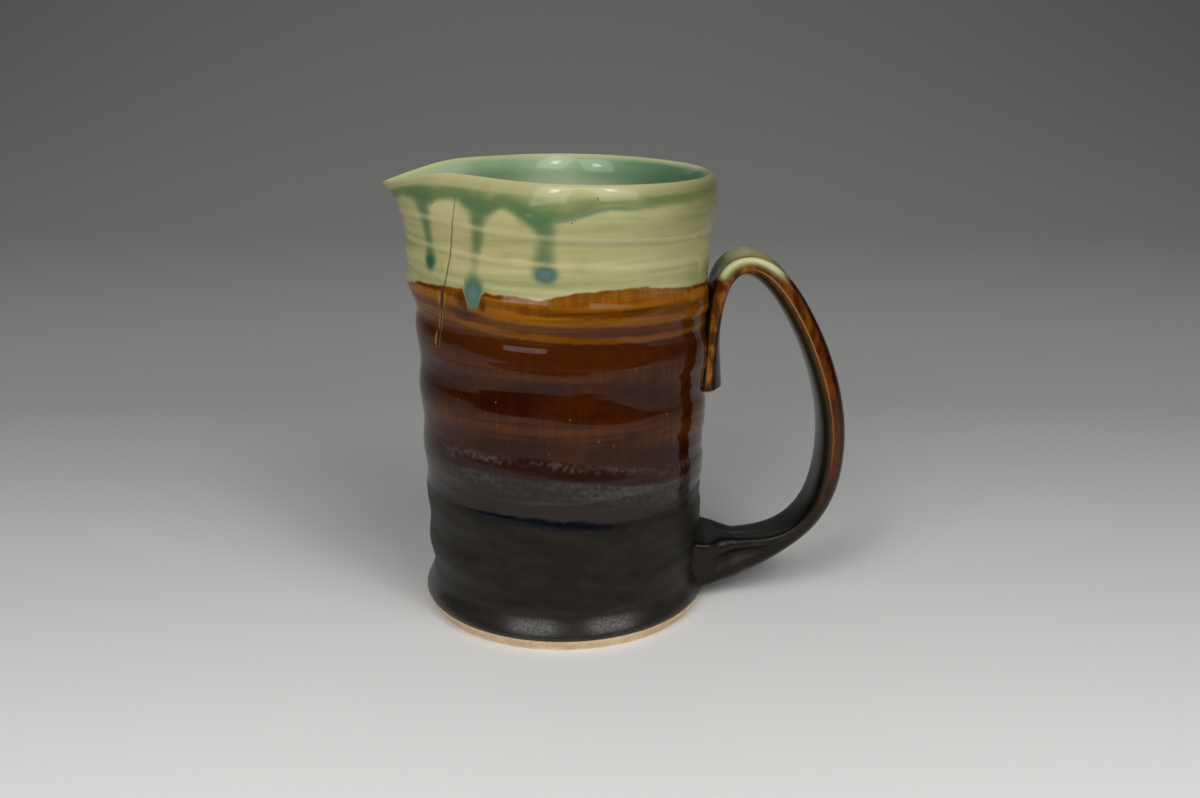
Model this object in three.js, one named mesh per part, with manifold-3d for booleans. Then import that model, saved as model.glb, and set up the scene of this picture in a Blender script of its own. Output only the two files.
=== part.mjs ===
// A hand-thrown stoneware cream jug with a pinched spout, a pulled strap handle and three glazes.
// Millimetres, +Z up. The origin is the centre of the flat base, the handle is on +X and the spout on -X.

import * as THREE from "three";
import { mergeVertices } from "three/addons/utils/BufferGeometryUtils.js";
import Module from "manifold-3d";

// The thrown pot: the radius of the clay under the glaze, what each level stands out or draws in from it,
// heights above the base and drops below the rim
const BODY_RADIUS = 37.35;
const RIM_HEIGHT = 115;
const BASE_DRAW = 0.85;
const FOOT_FLARE = 0.25;
const FOOT_HEIGHT = 2.6;
const WAIST_DRAW = 2.25;
const WAIST_HEIGHT = 10;
const BELLY_DRAW = 1.15;
const BELLY_HEIGHT = 18;
const SHOULDER_DROP = 38;
const NECK_DRAW = 0.35;
const NECK_DROP = 21;
const RIM_FLARE = 1.15;
const RIM_BAND = 6;
const RIM_TILT = 0.0265;
const WALL = 3.6;
const FLOOR = 6;
const FLOOR_FILLET = 9;
const LIP = 2.4;
const LIP_TAPER = 16;

// The spiral rings left by the potter's fingers
const RING_PITCH = 14.5;
const RING_DEPTH = 0.85;
const RING_START = 17.5;
const RING_FADE = 8;

// The spout, pulled out at the tip and pinched in at both cheeks
const SPOUT_REACH = 5.2;
const SPOUT_FLICK = 10;
const SPOUT_SPREAD = THREE.MathUtils.degToRad(18.5);
const SPOUT_DIP = 4.7;
const THROAT_BULGE = 2.4;
const THROAT_DROP = 36;
const THROAT_RISE = 10;
const THROAT_SPREAD = THREE.MathUtils.degToRad(34);
const CHEEK_PINCH = 7.1;
const CHEEK_DROP = 27;
const CHEEK_EASE = 1.5;
const CHEEK_ANGLE = THREE.MathUtils.degToRad(50);

// The strap handle: its centre line's reach beyond the wall, then its section's width and thickness
const TONGUE_REACH = 1.2;
const TONGUE_LENGTH = 34;
const CREST_REACH = 9.9;
const CREST_DROP = 23.6;
const CREST_CURL = 8.6;
const GRIP_REACH = 34;
const GRIP_HEIGHT = 43;
const GRIP_RISE = 21;
const GRIP_FALL = 24;
const TAIL_REACH = 10;
const TAIL_CURL = 11;
const TAIL_LIFT = 2.8;
const ROOT_CLEARANCE = 1.4;
const TONGUE_WIDTH = 14.5;
const TONGUE_THICKNESS = 4.6;
const CREST_WIDTH = 16;
const CREST_THICKNESS = 4;
const GRIP_WIDTH = 15.5;
const GRIP_THICKNESS = 5.4;
const TAIL_WIDTH = 15.5;
const TAIL_THICKNESS = 10;
const ROOT_WIDTH = 23;
const ROOT_DEPTH = 19.5;
const STRAP_CHANNEL = 0.5;
const STRAP_SQUARENESS = 2.6;

// The slip joints and the glaze coats, with the clearances that keep them apart
const SLIP = 0.4;
const SLIP_SEAT = 0.3;
const TONGUE_BOND_MARGIN = 1.8;
const TONGUE_BOND_DROP = 10;
const ROOT_BOND_MARGIN = 3;
const GLAZE = 0.45;
const GLAZE_SEAT = 0.1;
const GLAZE_GAP = 0.3;
const BARE_FOOT = 3;
const BLACK_LINE = 34.5;
const COLLAR_DROP = 25;

// Where the handle's glazes change along the strap, before and past the crest and before the tail,
// and how far off the wall they stop
const CREST_GLAZE_BEFORE = 7.4;
const CREST_GLAZE_PAST = 8.5;
const TAIL_GLAZE_BEFORE = 18.3;
const TAIL_GLAZE_STANDOFF = 4;

// How finely the curved surfaces are divided
const COLUMNS = 36;
const ROW = 3.5;
const INNER_ROW = 15;
const INNER_RIM_ROW = 6;
const ARC_STEPS = 3;
const STRAP_COLUMNS = 16;
const STRAP_STEP = 0.14;
const TONGUE_GLAZE_COLUMNS = 3;
const PAD_COLUMNS = 4;

const { smoothstep, lerp, clamp } = THREE.MathUtils;
const TURN = 2 * Math.PI;
const SPOUT_ANGLE = Math.PI;
const LATHE_START = -Math.PI / 2;
const CLAY_RIM = RIM_HEIGHT - GLAZE_SEAT - GLAZE;
const LIP_CENTRE = CLAY_RIM - LIP / 2;
const COLLAR_LINE = RIM_HEIGHT - COLLAR_DROP;
const RIM_RADIUS = BODY_RADIUS + RIM_FLARE;
const WAIST_RADIUS = BODY_RADIUS - WAIST_DRAW;
const COAT_FACE = GLAZE_SEAT + GLAZE;
const BOND = SLIP + 2 * SLIP_SEAT;

const CLAY = new THREE.MeshStandardMaterial({ color: 0xb9986f, roughness: 0.9, metalness: 0 });
const SLIP_CLAY = new THREE.MeshStandardMaterial({ color: 0xa88860, roughness: 0.95, metalness: 0 });
const CELADON = new THREE.MeshStandardMaterial({ color: 0x8d9378, roughness: 0.15, metalness: 0 });
const AMBER = new THREE.MeshStandardMaterial({ color: 0x6b3410, roughness: 0.12, metalness: 0 });
const BROWN = new THREE.MeshStandardMaterial({ color: 0x4a2410, roughness: 0.15, metalness: 0 });
const BLACK = new THREE.MeshStandardMaterial({ color: 0x1c1613, roughness: 0.4, metalness: 0 });

// Heights that cut a stretch into even steps, both ends included
function steps(from, to, size) {
  const count = Math.max(1, Math.ceil(Math.abs(to - from) / size));
  return Array.from({ length: count + 1 }, (_, i) => lerp(from, to, i / count));
}

// Even steps between neighbouring marks, each mark kept once
function stepsThrough(marks, size) {
  const inner = marks.slice(1).flatMap((mark, i) => steps(marks[i], mark, size).slice(1));
  return [marks[0], ...inner];
}

// The clay wall's outer radius before the rings and the spout, eased from station to station
const STATIONS = [
  [0, BODY_RADIUS - BASE_DRAW],
  [FOOT_HEIGHT, BODY_RADIUS + FOOT_FLARE],
  [WAIST_HEIGHT, WAIST_RADIUS],
  [BELLY_HEIGHT, BODY_RADIUS - BELLY_DRAW],
  [RIM_HEIGHT - SHOULDER_DROP, BODY_RADIUS],
  [RIM_HEIGHT - NECK_DROP, BODY_RADIUS - NECK_DRAW],
  [RIM_HEIGHT - RIM_BAND, RIM_RADIUS],
];

function outerRadius(z) {
  const above = STATIONS.findIndex(([height], i) => i > 0 && height > z);
  if (above < 0) return RIM_RADIUS;
  const [lowHeight, lowRadius] = STATIONS[above - 1];
  const [highHeight, highRadius] = STATIONS[above];
  return lerp(lowRadius, highRadius, smoothstep(z, lowHeight, highHeight));
}

function innerRadius(z) {
  return outerRadius(z) - lerp(WALL, LIP, smoothstep(z, LIP_CENTRE - LIP_TAPER, LIP_CENTRE));
}

// How far a finger ring sinks in: rounded crests and sharper valleys on one climbing spiral
function ringDepth(angle, z) {
  const turns = (z - RING_START) / RING_PITCH + (wrapped(angle) - SPOUT_ANGLE) / TURN;
  const valley = 1 - Math.abs(Math.cos(Math.PI * turns));
  const rise = smoothstep(z, WAIST_HEIGHT, BELLY_HEIGHT);
  const fall = 1 - smoothstep(z, COLLAR_LINE - RING_FADE, COLLAR_LINE);
  return RING_DEPTH * valley * rise * fall;
}

// An angle about the axis, from 0 to a whole turn
function wrapped(angle) {
  return ((angle % TURN) + TURN) % TURN;
}

// The angle away from the spout, from 0 to half a turn
function fromSpout(angle) {
  const apart = wrapped(angle - SPOUT_ANGLE);
  return Math.min(apart, TURN - apart);
}

function bell(value, spread) {
  return Math.exp(-((value / spread) ** 2));
}

// How far the spout moves the wall out, or its cheeks in
function spoutShift(angle, z) {
  const away = fromSpout(angle);
  const rimRise = clamp((z - (RIM_HEIGHT - SPOUT_FLICK)) / SPOUT_FLICK, 0, 1);
  const tip = SPOUT_REACH * rimRise ** 2 * bell(away, SPOUT_SPREAD);
  const throatStart = RIM_HEIGHT - THROAT_DROP;
  const throatRise = smoothstep(z, throatStart, throatStart + THROAT_RISE);
  const throat = THROAT_BULGE * throatRise * bell(away, THROAT_SPREAD);
  const cheekRise = clamp((z - (RIM_HEIGHT - CHEEK_DROP)) / CHEEK_DROP, 0, 1);
  const cheekPlace = clamp((away / CHEEK_ANGLE - 1) * Math.PI / 2, -Math.PI / 2, Math.PI / 2);
  const cheek = CHEEK_PINCH * cheekRise ** CHEEK_EASE * Math.cos(cheekPlace) ** 2;
  return tip + throat * (1 - rimRise) + throat * rimRise * bell(away, SPOUT_SPREAD) - cheek;
}

// How far the rim is lifted by its tilt and lowered at the spout's tip
function rimLift(angle, radius, z) {
  const share = clamp((z - COLLAR_LINE) / COLLAR_DROP, 0, 1) ** 2;
  const tilt = -RIM_TILT * radius * Math.cos(angle);
  return share * (tilt - SPOUT_DIP * bell(fromSpout(angle), SPOUT_SPREAD));
}

// A closed surface turned to face out, whichever way it was wound
function facedOut(geometry) {
  const corners = [0, 1, 2].map(() => new THREE.Vector3());
  const index = geometry.index.array;
  let volume = 0;
  for (let i = 0; i < index.length; i += 3) {
    corners.forEach((corner, j) => corner.fromBufferAttribute(geometry.attributes.position, index[i + j]));
    volume += corners[0].dot(corners[1].cross(corners[2]));
  }
  if (volume < 0) index.reverse();
  return geometry;
}

function quad(a, b, c, d) {
  return [a, b, c, a, c, d];
}

function solidFrom(points, index) {
  const geometry = new THREE.BufferGeometry();
  geometry.setAttribute("position", new THREE.Float32BufferAttribute(points.flatMap((p) => p.toArray()), 3));
  geometry.setIndex(index);
  return facedOut(geometry);
}

// A closed coat between a near and a far sheet of points, each a list of rows, that may close round on itself
function coat(near, far, closed) {
  const width = near[0].length;
  const points = [...far.flat(), ...near.flat()];
  const under = points.length / 2;
  const at = (i, j) => i * width + (j % width);
  const [lastRow, lastColumn] = [near.length - 1, width - 1];
  const index = [];
  for (let j = 0; j < (closed ? width : lastColumn); j += 1) {
    for (let i = 0; i < lastRow; i += 1) {
      const [a, b, c, d] = [at(i, j), at(i, j + 1), at(i + 1, j + 1), at(i + 1, j)];
      index.push(...quad(a, b, c, d), ...quad(under + a, under + d, under + c, under + b));
    }
    index.push(...quad(at(0, j + 1), at(0, j), under + at(0, j), under + at(0, j + 1)));
    const [left, right] = [at(lastRow, j), at(lastRow, j + 1)];
    index.push(...quad(left, right, under + right, under + left));
  }
  for (let i = 0; i < lastRow && !closed; i += 1) {
    index.push(...quad(at(i, 0), at(i + 1, 0), under + at(i + 1, 0), under + at(i, 0)));
    const [low, high] = [at(i, lastColumn), at(i + 1, lastColumn)];
    index.push(...quad(high, low, under + low, under + high));
  }
  return solidFrom(points, index);
}

// A point of the turned profile, ringed, pinched and pulled by hand
function thrownPoint(radius, angle, z) {
  const outerShare = clamp(1 - (outerRadius(z) - radius) / LIP, 0, 1);
  const shift = radius > innerRadius(z) - WALL ? spoutShift(angle, z) - outerShare * ringDepth(angle, z) : 0;
  const moved = radius + shift;
  return new THREE.Vector3(moved * Math.cos(angle), moved * Math.sin(angle), z + rimLift(angle, moved, z));
}

function arc(centreRadius, centreHeight, radius, from, to) {
  return Array.from({ length: ARC_STEPS + 1 }, (_, i) => {
    const angle = lerp(from, to, i / ARC_STEPS);
    const [out, up] = [radius * Math.cos(angle), radius * Math.sin(angle)];
    return new THREE.Vector2(centreRadius + out, centreHeight + up);
  });
}

// The heights that every sheet of the outer wall shares
const OUTER_ROWS = stepsThrough([0, FOOT_HEIGHT, BARE_FOOT, BLACK_LINE, COLLAR_LINE, LIP_CENTRE], ROW);

// The clay wall's outer radius on the handle's side, straight between its rows and with the rings included
function wallAt(angle, z) {
  const above = Math.max(1, OUTER_ROWS.findIndex((row) => row > z));
  const [low, high] = OUTER_ROWS.slice(above - 1, above + 1);
  const [lowRadius, highRadius] = [low, high].map((row) => outerRadius(row) - ringDepth(angle, row));
  return lerp(lowRadius, highRadius, (z - low) / (high - low));
}

// The outer wall at a distance off the clay, from one height up to another
function outerLine(from, to, off) {
  const heights = [from, ...OUTER_ROWS.filter((z) => z > from && z < to), to];
  return heights.map((z) => new THREE.Vector2(outerRadius(z) + off, z));
}

// Half of the lip's round top, from its outer side to its crest or from its crest to its inner side
function lipArc(off, from, to) {
  return arc(RIM_RADIUS - LIP / 2, LIP_CENTRE, LIP / 2 + off, from, to);
}

// The inner wall and the floor at a distance off the clay, from the lip down to the axis
function innerLine(off) {
  const bottom = FLOOR + FLOOR_FILLET;
  const collar = steps(LIP_CENTRE, COLLAR_LINE, INNER_RIM_ROW).slice(1);
  const below = steps(COLLAR_LINE, bottom, INNER_ROW).slice(1, -1);
  const corner = innerRadius(bottom) - FLOOR_FILLET;
  return [
    ...[...collar, ...below].map((z) => new THREE.Vector2(innerRadius(z) - off, z)),
    ...arc(corner, bottom, FLOOR_FILLET - off, 0, -Math.PI / 2),
    new THREE.Vector2(0, FLOOR + off),
  ];
}

function bodyGeometry() {
  const base = [new THREE.Vector2(0, 0)];
  const lip = lipArc(0, 0, Math.PI / 2).slice(1);
  const innerLip = lipArc(0, Math.PI / 2, Math.PI).slice(1);
  const profile = [...base, ...outerLine(0, LIP_CENTRE, 0), ...lip, ...innerLip, ...innerLine(0)];
  const geometry = new THREE.LatheGeometry(profile, COLUMNS);
  geometry.rotateX(Math.PI / 2);
  const place = geometry.attributes.position;
  for (let i = 0; i < place.count; i += 1) {
    const [x, y] = [place.getX(i), place.getY(i)];
    const point = thrownPoint(Math.hypot(x, y), Math.atan2(y, x), place.getZ(i));
    place.setXYZ(i, point.x, point.y, point.z);
  }
  return facedOut(geometry);
}

// A coat between two lines, divided round the axis just as the clay under it
function coatBetween(near, far) {
  const angles = Array.from({ length: COLUMNS }, (_, j) => LATHE_START - (j / COLUMNS) * TURN);
  const sheet = (line) => line.map(({ x, y }) => angles.map((angle) => thrownPoint(x, angle, y)));
  return coat(sheet(near), sheet(far), true);
}

function wallCoat(from, to) {
  return coatBetween(outerLine(from, to, GLAZE_SEAT), outerLine(from, to, COAT_FACE));
}

function collarGeometry() {
  const side = (off) => {
    return [...outerLine(COLLAR_LINE, LIP_CENTRE, off), ...lipArc(off, 0, Math.PI / 2).slice(1)];
  };
  return coatBetween(side(GLAZE_SEAT), side(COAT_FACE));
}

// The liner starts just inside the lip's crest, clear of the collar's edge, and both its lines reach the axis
function linerGeometry() {
  const start = Math.PI / 2 + GLAZE_GAP / (LIP / 2);
  const side = (off) => [...lipArc(off, start, Math.PI), ...innerLine(off)];
  return coatBetween(side(GLAZE_SEAT), side(COAT_FACE));
}

// The handle's centre line: up the wall, over the crest, down the arm and in to the wall again
const ROOT_HEIGHT = ROOT_CLEARANCE + ROOT_DEPTH / 2;
const CREST_HEIGHT = RIM_HEIGHT - CREST_DROP;
const TONGUE_END = CREST_HEIGHT - TONGUE_LENGTH;
const GRIP = new THREE.Vector3(BODY_RADIUS + GRIP_REACH, 0, GRIP_HEIGHT);
const CREST = new THREE.Vector3(BODY_RADIUS + CREST_REACH, 0, CREST_HEIGHT);
const TAIL = new THREE.Vector3(BODY_RADIUS + TAIL_REACH, 0, ROOT_HEIGHT);

function beside(point, x, z) {
  return new THREE.Vector3(point.x + x, 0, point.z + z);
}

function strapSpans() {
  const end = new THREE.Vector3(BODY_RADIUS + TONGUE_REACH, 0, TONGUE_END);
  const root = new THREE.Vector3(WAIST_RADIUS, 0, ROOT_HEIGHT);
  const Bezier = THREE.CubicBezierCurve3;
  return [
    new Bezier(end, beside(end, 0, TONGUE_LENGTH / 2), beside(CREST, -CREST_CURL, 0), CREST),
    new Bezier(CREST, beside(CREST, CREST_CURL, 0), beside(GRIP, 0, GRIP_RISE), GRIP),
    new Bezier(GRIP, beside(GRIP, 0, -GRIP_FALL), beside(TAIL, TAIL_CURL, TAIL_LIFT), TAIL),
    new THREE.LineCurve3(TAIL, root),
  ];
}

const SPANS = strapSpans();
const STRAP_WIDTHS = [TONGUE_WIDTH, CREST_WIDTH, GRIP_WIDTH, TAIL_WIDTH, ROOT_WIDTH];
const STRAP_THICKNESSES = [TONGUE_THICKNESS, CREST_THICKNESS, GRIP_THICKNESS, TAIL_THICKNESS, ROOT_DEPTH];

// A size eased from one end of a span to the other; the tail flares evenly onto the wall
function eased(values, place) {
  const span = Math.min(Math.floor(place), SPANS.length - 1);
  const share = span === SPANS.length - 1 ? place - span : smoothstep(place - span, 0, 1);
  return lerp(values[span], values[span + 1], share);
}

function superPower(value) {
  return Math.sign(value) * Math.abs(value) ** (2 / STRAP_SQUARENESS);
}

// A point on the strap's skin at a distance off the clay; turn 0 is the middle of its outer face
function strapPoint(place, turn, off, share = 1) {
  const span = Math.min(Math.floor(place), SPANS.length - 1);
  const centre = SPANS[span].getPoint(place - span);
  const along = SPANS[span].getTangent(place - span);
  const halfWidth = eased(STRAP_WIDTHS, place) / 2 + off;
  const halfThickness = eased(STRAP_THICKNESSES, place) / 2 + off;
  const across = share * halfWidth * superPower(Math.sin(turn));
  const channel = STRAP_CHANNEL * Math.max(0, Math.cos(turn)) ** 2;
  const out = share * (halfThickness * superPower(Math.cos(turn)) - channel);
  return new THREE.Vector3(centre.x - along.z * out, across, centre.z + along.x * out);
}

// A point pushed out, where it needs it, to sit on the wall with the slip between
function seated(point) {
  const angle = Math.atan2(point.y, point.x);
  const radius = Math.hypot(point.x, point.y);
  const seat = wallAt(angle, point.z) + BOND;
  const scale = Math.max(1, seat / radius);
  return new THREE.Vector3(point.x * scale, point.y * scale, point.z);
}

function strapTurn(column) {
  return (column / STRAP_COLUMNS) * TURN;
}

// The length along the strap at which a span starts
function spanStart(span) {
  return SPANS.slice(0, span).reduce((sum, curve) => sum + curve.getLength(), 0);
}

// The place along the strap, in spans, at a length from the tongue's end
function placeAt(length) {
  const span = SPANS.findIndex((_, i) => length < spanStart(i + 1));
  return span + SPANS[span].getUtoTmapping(0, length - spanStart(span));
}

const CREST_SPAN = 1;
const TAIL_SPAN = SPANS.length - 1;
const CREST_GLAZE_START = spanStart(CREST_SPAN) - CREST_GLAZE_BEFORE;
const CREST_GLAZE_END = spanStart(CREST_SPAN) + CREST_GLAZE_PAST;
const TAIL_GLAZE_START = spanStart(TAIL_SPAN) - TAIL_GLAZE_BEFORE;
const TAIL_GLAZE_END = spanStart(TAIL_SPAN) + TAIL_REACH - TAIL_GLAZE_STANDOFF;
const UPPER_MARKS = [0, placeAt(CREST_GLAZE_START), CREST_SPAN, placeAt(CREST_GLAZE_END)];
const LOWER_MARKS = [placeAt(TAIL_GLAZE_START), TAIL_SPAN, placeAt(TAIL_GLAZE_END)];
const STRAP_ROWS = stepsThrough([...UPPER_MARKS, ...LOWER_MARKS], STRAP_STEP);
const ROOT_RINGS = [1, 0.7, 0.4];

// The strap: rings along its centre line, from the tongue's square-cut end to the pad pressed onto the wall
function strapGeometry() {
  const columns = [...Array(STRAP_COLUMNS).keys()];
  const ring = (place, share) => columns.map((j) => seated(strapPoint(place, strapTurn(j), 0, share)));
  const root = SPANS.length;
  const rootRings = ROOT_RINGS.map((share) => ring(root, share));
  const rings = [...STRAP_ROWS.map((place) => ring(place, 1)), ...rootRings];
  const points = rings.flat();
  const index = rings.slice(1).flatMap((_, i) => columns.flatMap((j) => {
    const next = (j + 1) % STRAP_COLUMNS;
    const [low, high] = [i * STRAP_COLUMNS, (i + 1) * STRAP_COLUMNS];
    return quad(low + j, low + next, high + next, high + j);
  }));
  const startCentre = points.push(seated(strapPoint(0, 0, 0, 0))) - 1;
  const rootCentre = points.push(seated(strapPoint(root, 0, 0, 0))) - 1;
  const last = (rings.length - 1) * STRAP_COLUMNS;
  columns.forEach((j) => {
    const next = (j + 1) % STRAP_COLUMNS;
    index.push(startCentre, next, j, rootCentre, last + j, last + next);
  });
  return solidFrom(points, index);
}

// A coat on a length of the strap, between two turns of its section or right round it
function strapCoat(fromLength, toLength, fromTurn, toTurn) {
  const closed = toTurn - fromTurn >= TURN;
  const [from, to] = [placeAt(fromLength), placeAt(toLength)];
  const rows = [from, ...STRAP_ROWS.filter((place) => place > from && place < to), to];
  const turns = steps(fromTurn, toTurn, TURN / STRAP_COLUMNS);
  if (closed) turns.pop();
  const sheet = (off) => rows.map((place) => turns.map((turn) => strapPoint(place, turn, off)));
  return coat(sheet(GLAZE_SEAT), sheet(COAT_FACE), closed);
}

// A pad bent round the wall on the handle's side, between two distances off the clay
function wallPad(width, low, high, near, far) {
  const heights = [low, ...OUTER_ROWS.filter((z) => z > low && z < high), high];
  const reach = width / 2 / BODY_RADIUS;
  const angles = steps(-reach, reach, (2 * reach) / PAD_COLUMNS);
  const sheet = (off) => heights.map((z) => angles.map((angle) => {
    const radius = wallAt(angle, z) + off;
    return new THREE.Vector3(radius * Math.cos(angle), radius * Math.sin(angle), z);
  }));
  return coat(sheet(near), sheet(far), false);
}

// Each bond lies inside the outline of the strap's end, and its window in the glaze is a gap larger all round
const TONGUE_BOND = {
  width: TONGUE_WIDTH - 2 * TONGUE_BOND_MARGIN,
  low: TONGUE_END + TONGUE_BOND_MARGIN,
  high: CREST_HEIGHT - TONGUE_BOND_DROP,
};
const ROOT_BOND = {
  width: ROOT_WIDTH - 2 * ROOT_BOND_MARGIN,
  low: ROOT_HEIGHT - ROOT_DEPTH / 2 + ROOT_BOND_MARGIN,
  high: ROOT_HEIGHT + ROOT_DEPTH / 2 - ROOT_BOND_MARGIN,
};

function slipPad({ width, low, high }) {
  return wallPad(width, low, high, SLIP_SEAT, SLIP_SEAT + SLIP);
}

function glazeWindow({ width, low, high }) {
  return wallPad(width + 2 * GLAZE_GAP, low - GLAZE_GAP, high + GLAZE_GAP, -WALL / 2, BOND);
}

const wasm = await Module();
wasm.setup();

function solid(geometry) {
  const bare = geometry.clone();
  bare.deleteAttribute("normal");
  bare.deleteAttribute("uv");
  const welded = mergeVertices(bare, 1e-3);
  const vertProperties = new Float32Array(welded.attributes.position.array);
  const triVerts = new Uint32Array(welded.index.array);
  return new wasm.Manifold(new wasm.Mesh({ numProp: 3, vertProperties, triVerts }));
}

function cut(geometry, tool) {
  const { vertProperties, triVerts } = solid(geometry).subtract(solid(tool)).getMesh();
  const result = new THREE.BufferGeometry();
  result.setAttribute("position", new THREE.BufferAttribute(vertProperties, 3));
  result.setIndex(new THREE.BufferAttribute(triVerts, 1));
  return result;
}

const jug = new THREE.Group();

function add(name, geometry, material) {
  const mesh = new THREE.Mesh(geometry, material);
  mesh.name = name;
  jug.add(mesh);
}

add("thrown_body", bodyGeometry(), CLAY);
add("liner_glaze", linerGeometry(), CELADON);
add("collar_glaze", collarGeometry(), CELADON);
add("brown_glaze", cut(wallCoat(BLACK_LINE, COLLAR_LINE - GLAZE_GAP), glazeWindow(TONGUE_BOND)), AMBER);
add("black_glaze", cut(wallCoat(BARE_FOOT, BLACK_LINE - GLAZE_GAP), glazeWindow(ROOT_BOND)), BLACK);

add("handle_strap", strapGeometry(), CLAY);
add("upper_slip_joint", slipPad(TONGUE_BOND), SLIP_CLAY);
add("lower_slip_joint", slipPad(ROOT_BOND), SLIP_CLAY);
const tongueHalf = strapTurn(TONGUE_GLAZE_COLUMNS);
const tongueSides = [Math.PI - tongueHalf, Math.PI + tongueHalf];
add("handle_tongue_glaze", strapCoat(0, CREST_GLAZE_START - GLAZE_GAP, ...tongueSides), AMBER);
add("handle_crest_glaze", strapCoat(CREST_GLAZE_START, CREST_GLAZE_END, 0, TURN), CELADON);
add("handle_arm_glaze", strapCoat(CREST_GLAZE_END + GLAZE_GAP, TAIL_GLAZE_START - GLAZE_GAP, 0, TURN), BROWN);
add("handle_tail_glaze", strapCoat(TAIL_GLAZE_START, TAIL_GLAZE_END, 0, TURN), BLACK);

export default jug;
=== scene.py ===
"""Dresses the cream jug: the thrown pot, its poured glazes and its pulled handle, on a plain studio floor."""

import math

import bpy
import numpy as np
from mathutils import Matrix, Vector


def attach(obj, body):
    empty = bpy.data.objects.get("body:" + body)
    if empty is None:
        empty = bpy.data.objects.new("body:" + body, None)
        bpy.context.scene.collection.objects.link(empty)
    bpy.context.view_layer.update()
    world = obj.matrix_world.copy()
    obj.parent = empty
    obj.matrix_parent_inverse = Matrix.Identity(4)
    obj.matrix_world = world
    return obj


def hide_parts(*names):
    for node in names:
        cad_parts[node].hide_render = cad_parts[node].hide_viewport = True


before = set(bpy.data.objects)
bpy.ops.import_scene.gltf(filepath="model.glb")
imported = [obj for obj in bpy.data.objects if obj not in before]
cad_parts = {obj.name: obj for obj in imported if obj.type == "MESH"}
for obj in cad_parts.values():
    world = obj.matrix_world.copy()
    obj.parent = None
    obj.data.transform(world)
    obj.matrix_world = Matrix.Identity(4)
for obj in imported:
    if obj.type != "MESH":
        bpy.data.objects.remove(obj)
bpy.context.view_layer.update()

# Lengths are in millimetres, the studio's in metres, and angles in degrees.
# The handle is at 0 degrees, the spout at 180 and the side that faces the camera at 270.
MM = 0.001
SPOUT = 180
FRONT = 270

# The photograph's camera
CAMERA_PLACE = (9.61, -295.9, 145.8)
CAMERA_PITCH = 17.19
CAMERA_LENS = 35
CAMERA_SENSOR = 36
CAMERA_NEAR = 10

# The thrown pot: height and radius of the clay wall, eased from one pair to the next
WALL_LINE = (
    (0, 36.5), (2.6, 37.6), (10, 35.1), (18, 36.2), (77, 37.35), (91, 37), (98, 37),
    (107.5, 38.45), (115, 38.5),
)
RIM_HEIGHT = 115
WALL_THICKNESS = 3.6
FLOOR_THICKNESS = 6
FLOOR_FILLET = 9
BASE_RING_RADIUS = 20
# The lip's top, then how far its outer and inner sides reach from the peak and how far down they go
LIP_TOP = 114.45
LIP_OUTER = (1.3, 4.5)
LIP_INNER = (2.3, 4.6)

# The glaze coats: their thickness, the seat under them and the heights where one ends and the next begins
GLAZE_SEAT = 0.1
GLAZE = 0.45
GLAZE_FACE = GLAZE_SEAT + GLAZE
BARE_FOOT = 3
FOOT_ROLL = 0.3
BLACK_LINE = 34.5
COATS_MEET = 88.5
COLLAR_LINE = 90
# How far from the collar's line the rows of the mesh slide with the glaze line
LINE_SLIDE = 5

# The finger rings: height and turn of the spiral's crest at the spout, then the depth at that height
RING_CRESTS = ((3.5, -1), (18, 0), (31.5, 1), (44.7, 2), (60, 3), (77, 4), (88.5, 5), (100, 6))
RING_DEPTHS = ((9, 0), (16, 0.6), (45, 0.62), (60, 0.98), (76, 0.98), (84, 0.6), (90, 0.5), (96, 0), (115, 0))
RING_VALLEY = 0.45
# The glaze is thinnest a little under each crest, by this share of a turn
CREST_SHIFT = 0.12
CREST_SHARPNESS = 6
# Where each ring was pressed deepest: the ring's turn, the angle, how far it spreads, and its depth elsewhere
RING_SWELLS = (
    (0, 250, 70, 0.8), (1, 255, 60, 0.75), (2, 266, 40, 0.72), (3, 240, 52, 0.6), (4, 271, 76, 0.75),
)
# How the spiral climbs round the pot from the spout: evenly at the shoulder, late on the lower rings
LOW_CLIMB = ((180, 0), (262, 0), (360, 0.5), (540, 1))
HIGH_CLIMB = ((180, 0), (540, 1))
CLIMB_CHANGE = (66, 72)
# The fine rings between the finger rings: how many to a turn of the spiral, and depth, then how they drift
# and swell round the pot, and the heights where they fade in and out
FINE_RINGS = ((3, 0.08), (7, 0.045))
FINE_DRIFT = 0.25
FINE_DRIFT_WAVES = (1, 2, 5)
FINE_SWELL_WAVES = (1, 3)
FINE_START = (8, 14)
FINE_END = (88, 92)
# The fine lines on the collar: two that climb side by side, one line's pitch each half turn
LINE_PITCH = 6.3
LINE_HEIGHT = 102.2
LINE_CLIMB = 180
LINE_START = (86, 90)
LINE_END = (107, 110)
# Each line's ridge and groove: place in the pitch and spread, then how far they stand out and go in
RIDGE_PLACE = (0.16, 0.1)
GROOVE_PLACE = (-0.02, 0.08)
RIDGE_HEIGHT = 0.1
GROOVE_DEPTH = 0.07

# The spout, pulled out at the tip and pinched in at both cheeks
SPOUT_REACH = 5.9
SPOUT_FLICK = 10
SPOUT_SPREAD = 18.5
SPOUT_DIP = 4.7
THROAT_BULGE = 2.4
THROAT_START = 79
THROAT_FULL = 89
THROAT_SPREAD = 34
CHEEK_PINCH = 6.6
CHEEK_DROP = 27
CHEEK_EASE = 1.5
CHEEK_ANGLE = 50
CHEEK_SPREAD = 34
RIM_TILT = 0.0265
TILT_START = 90

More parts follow.
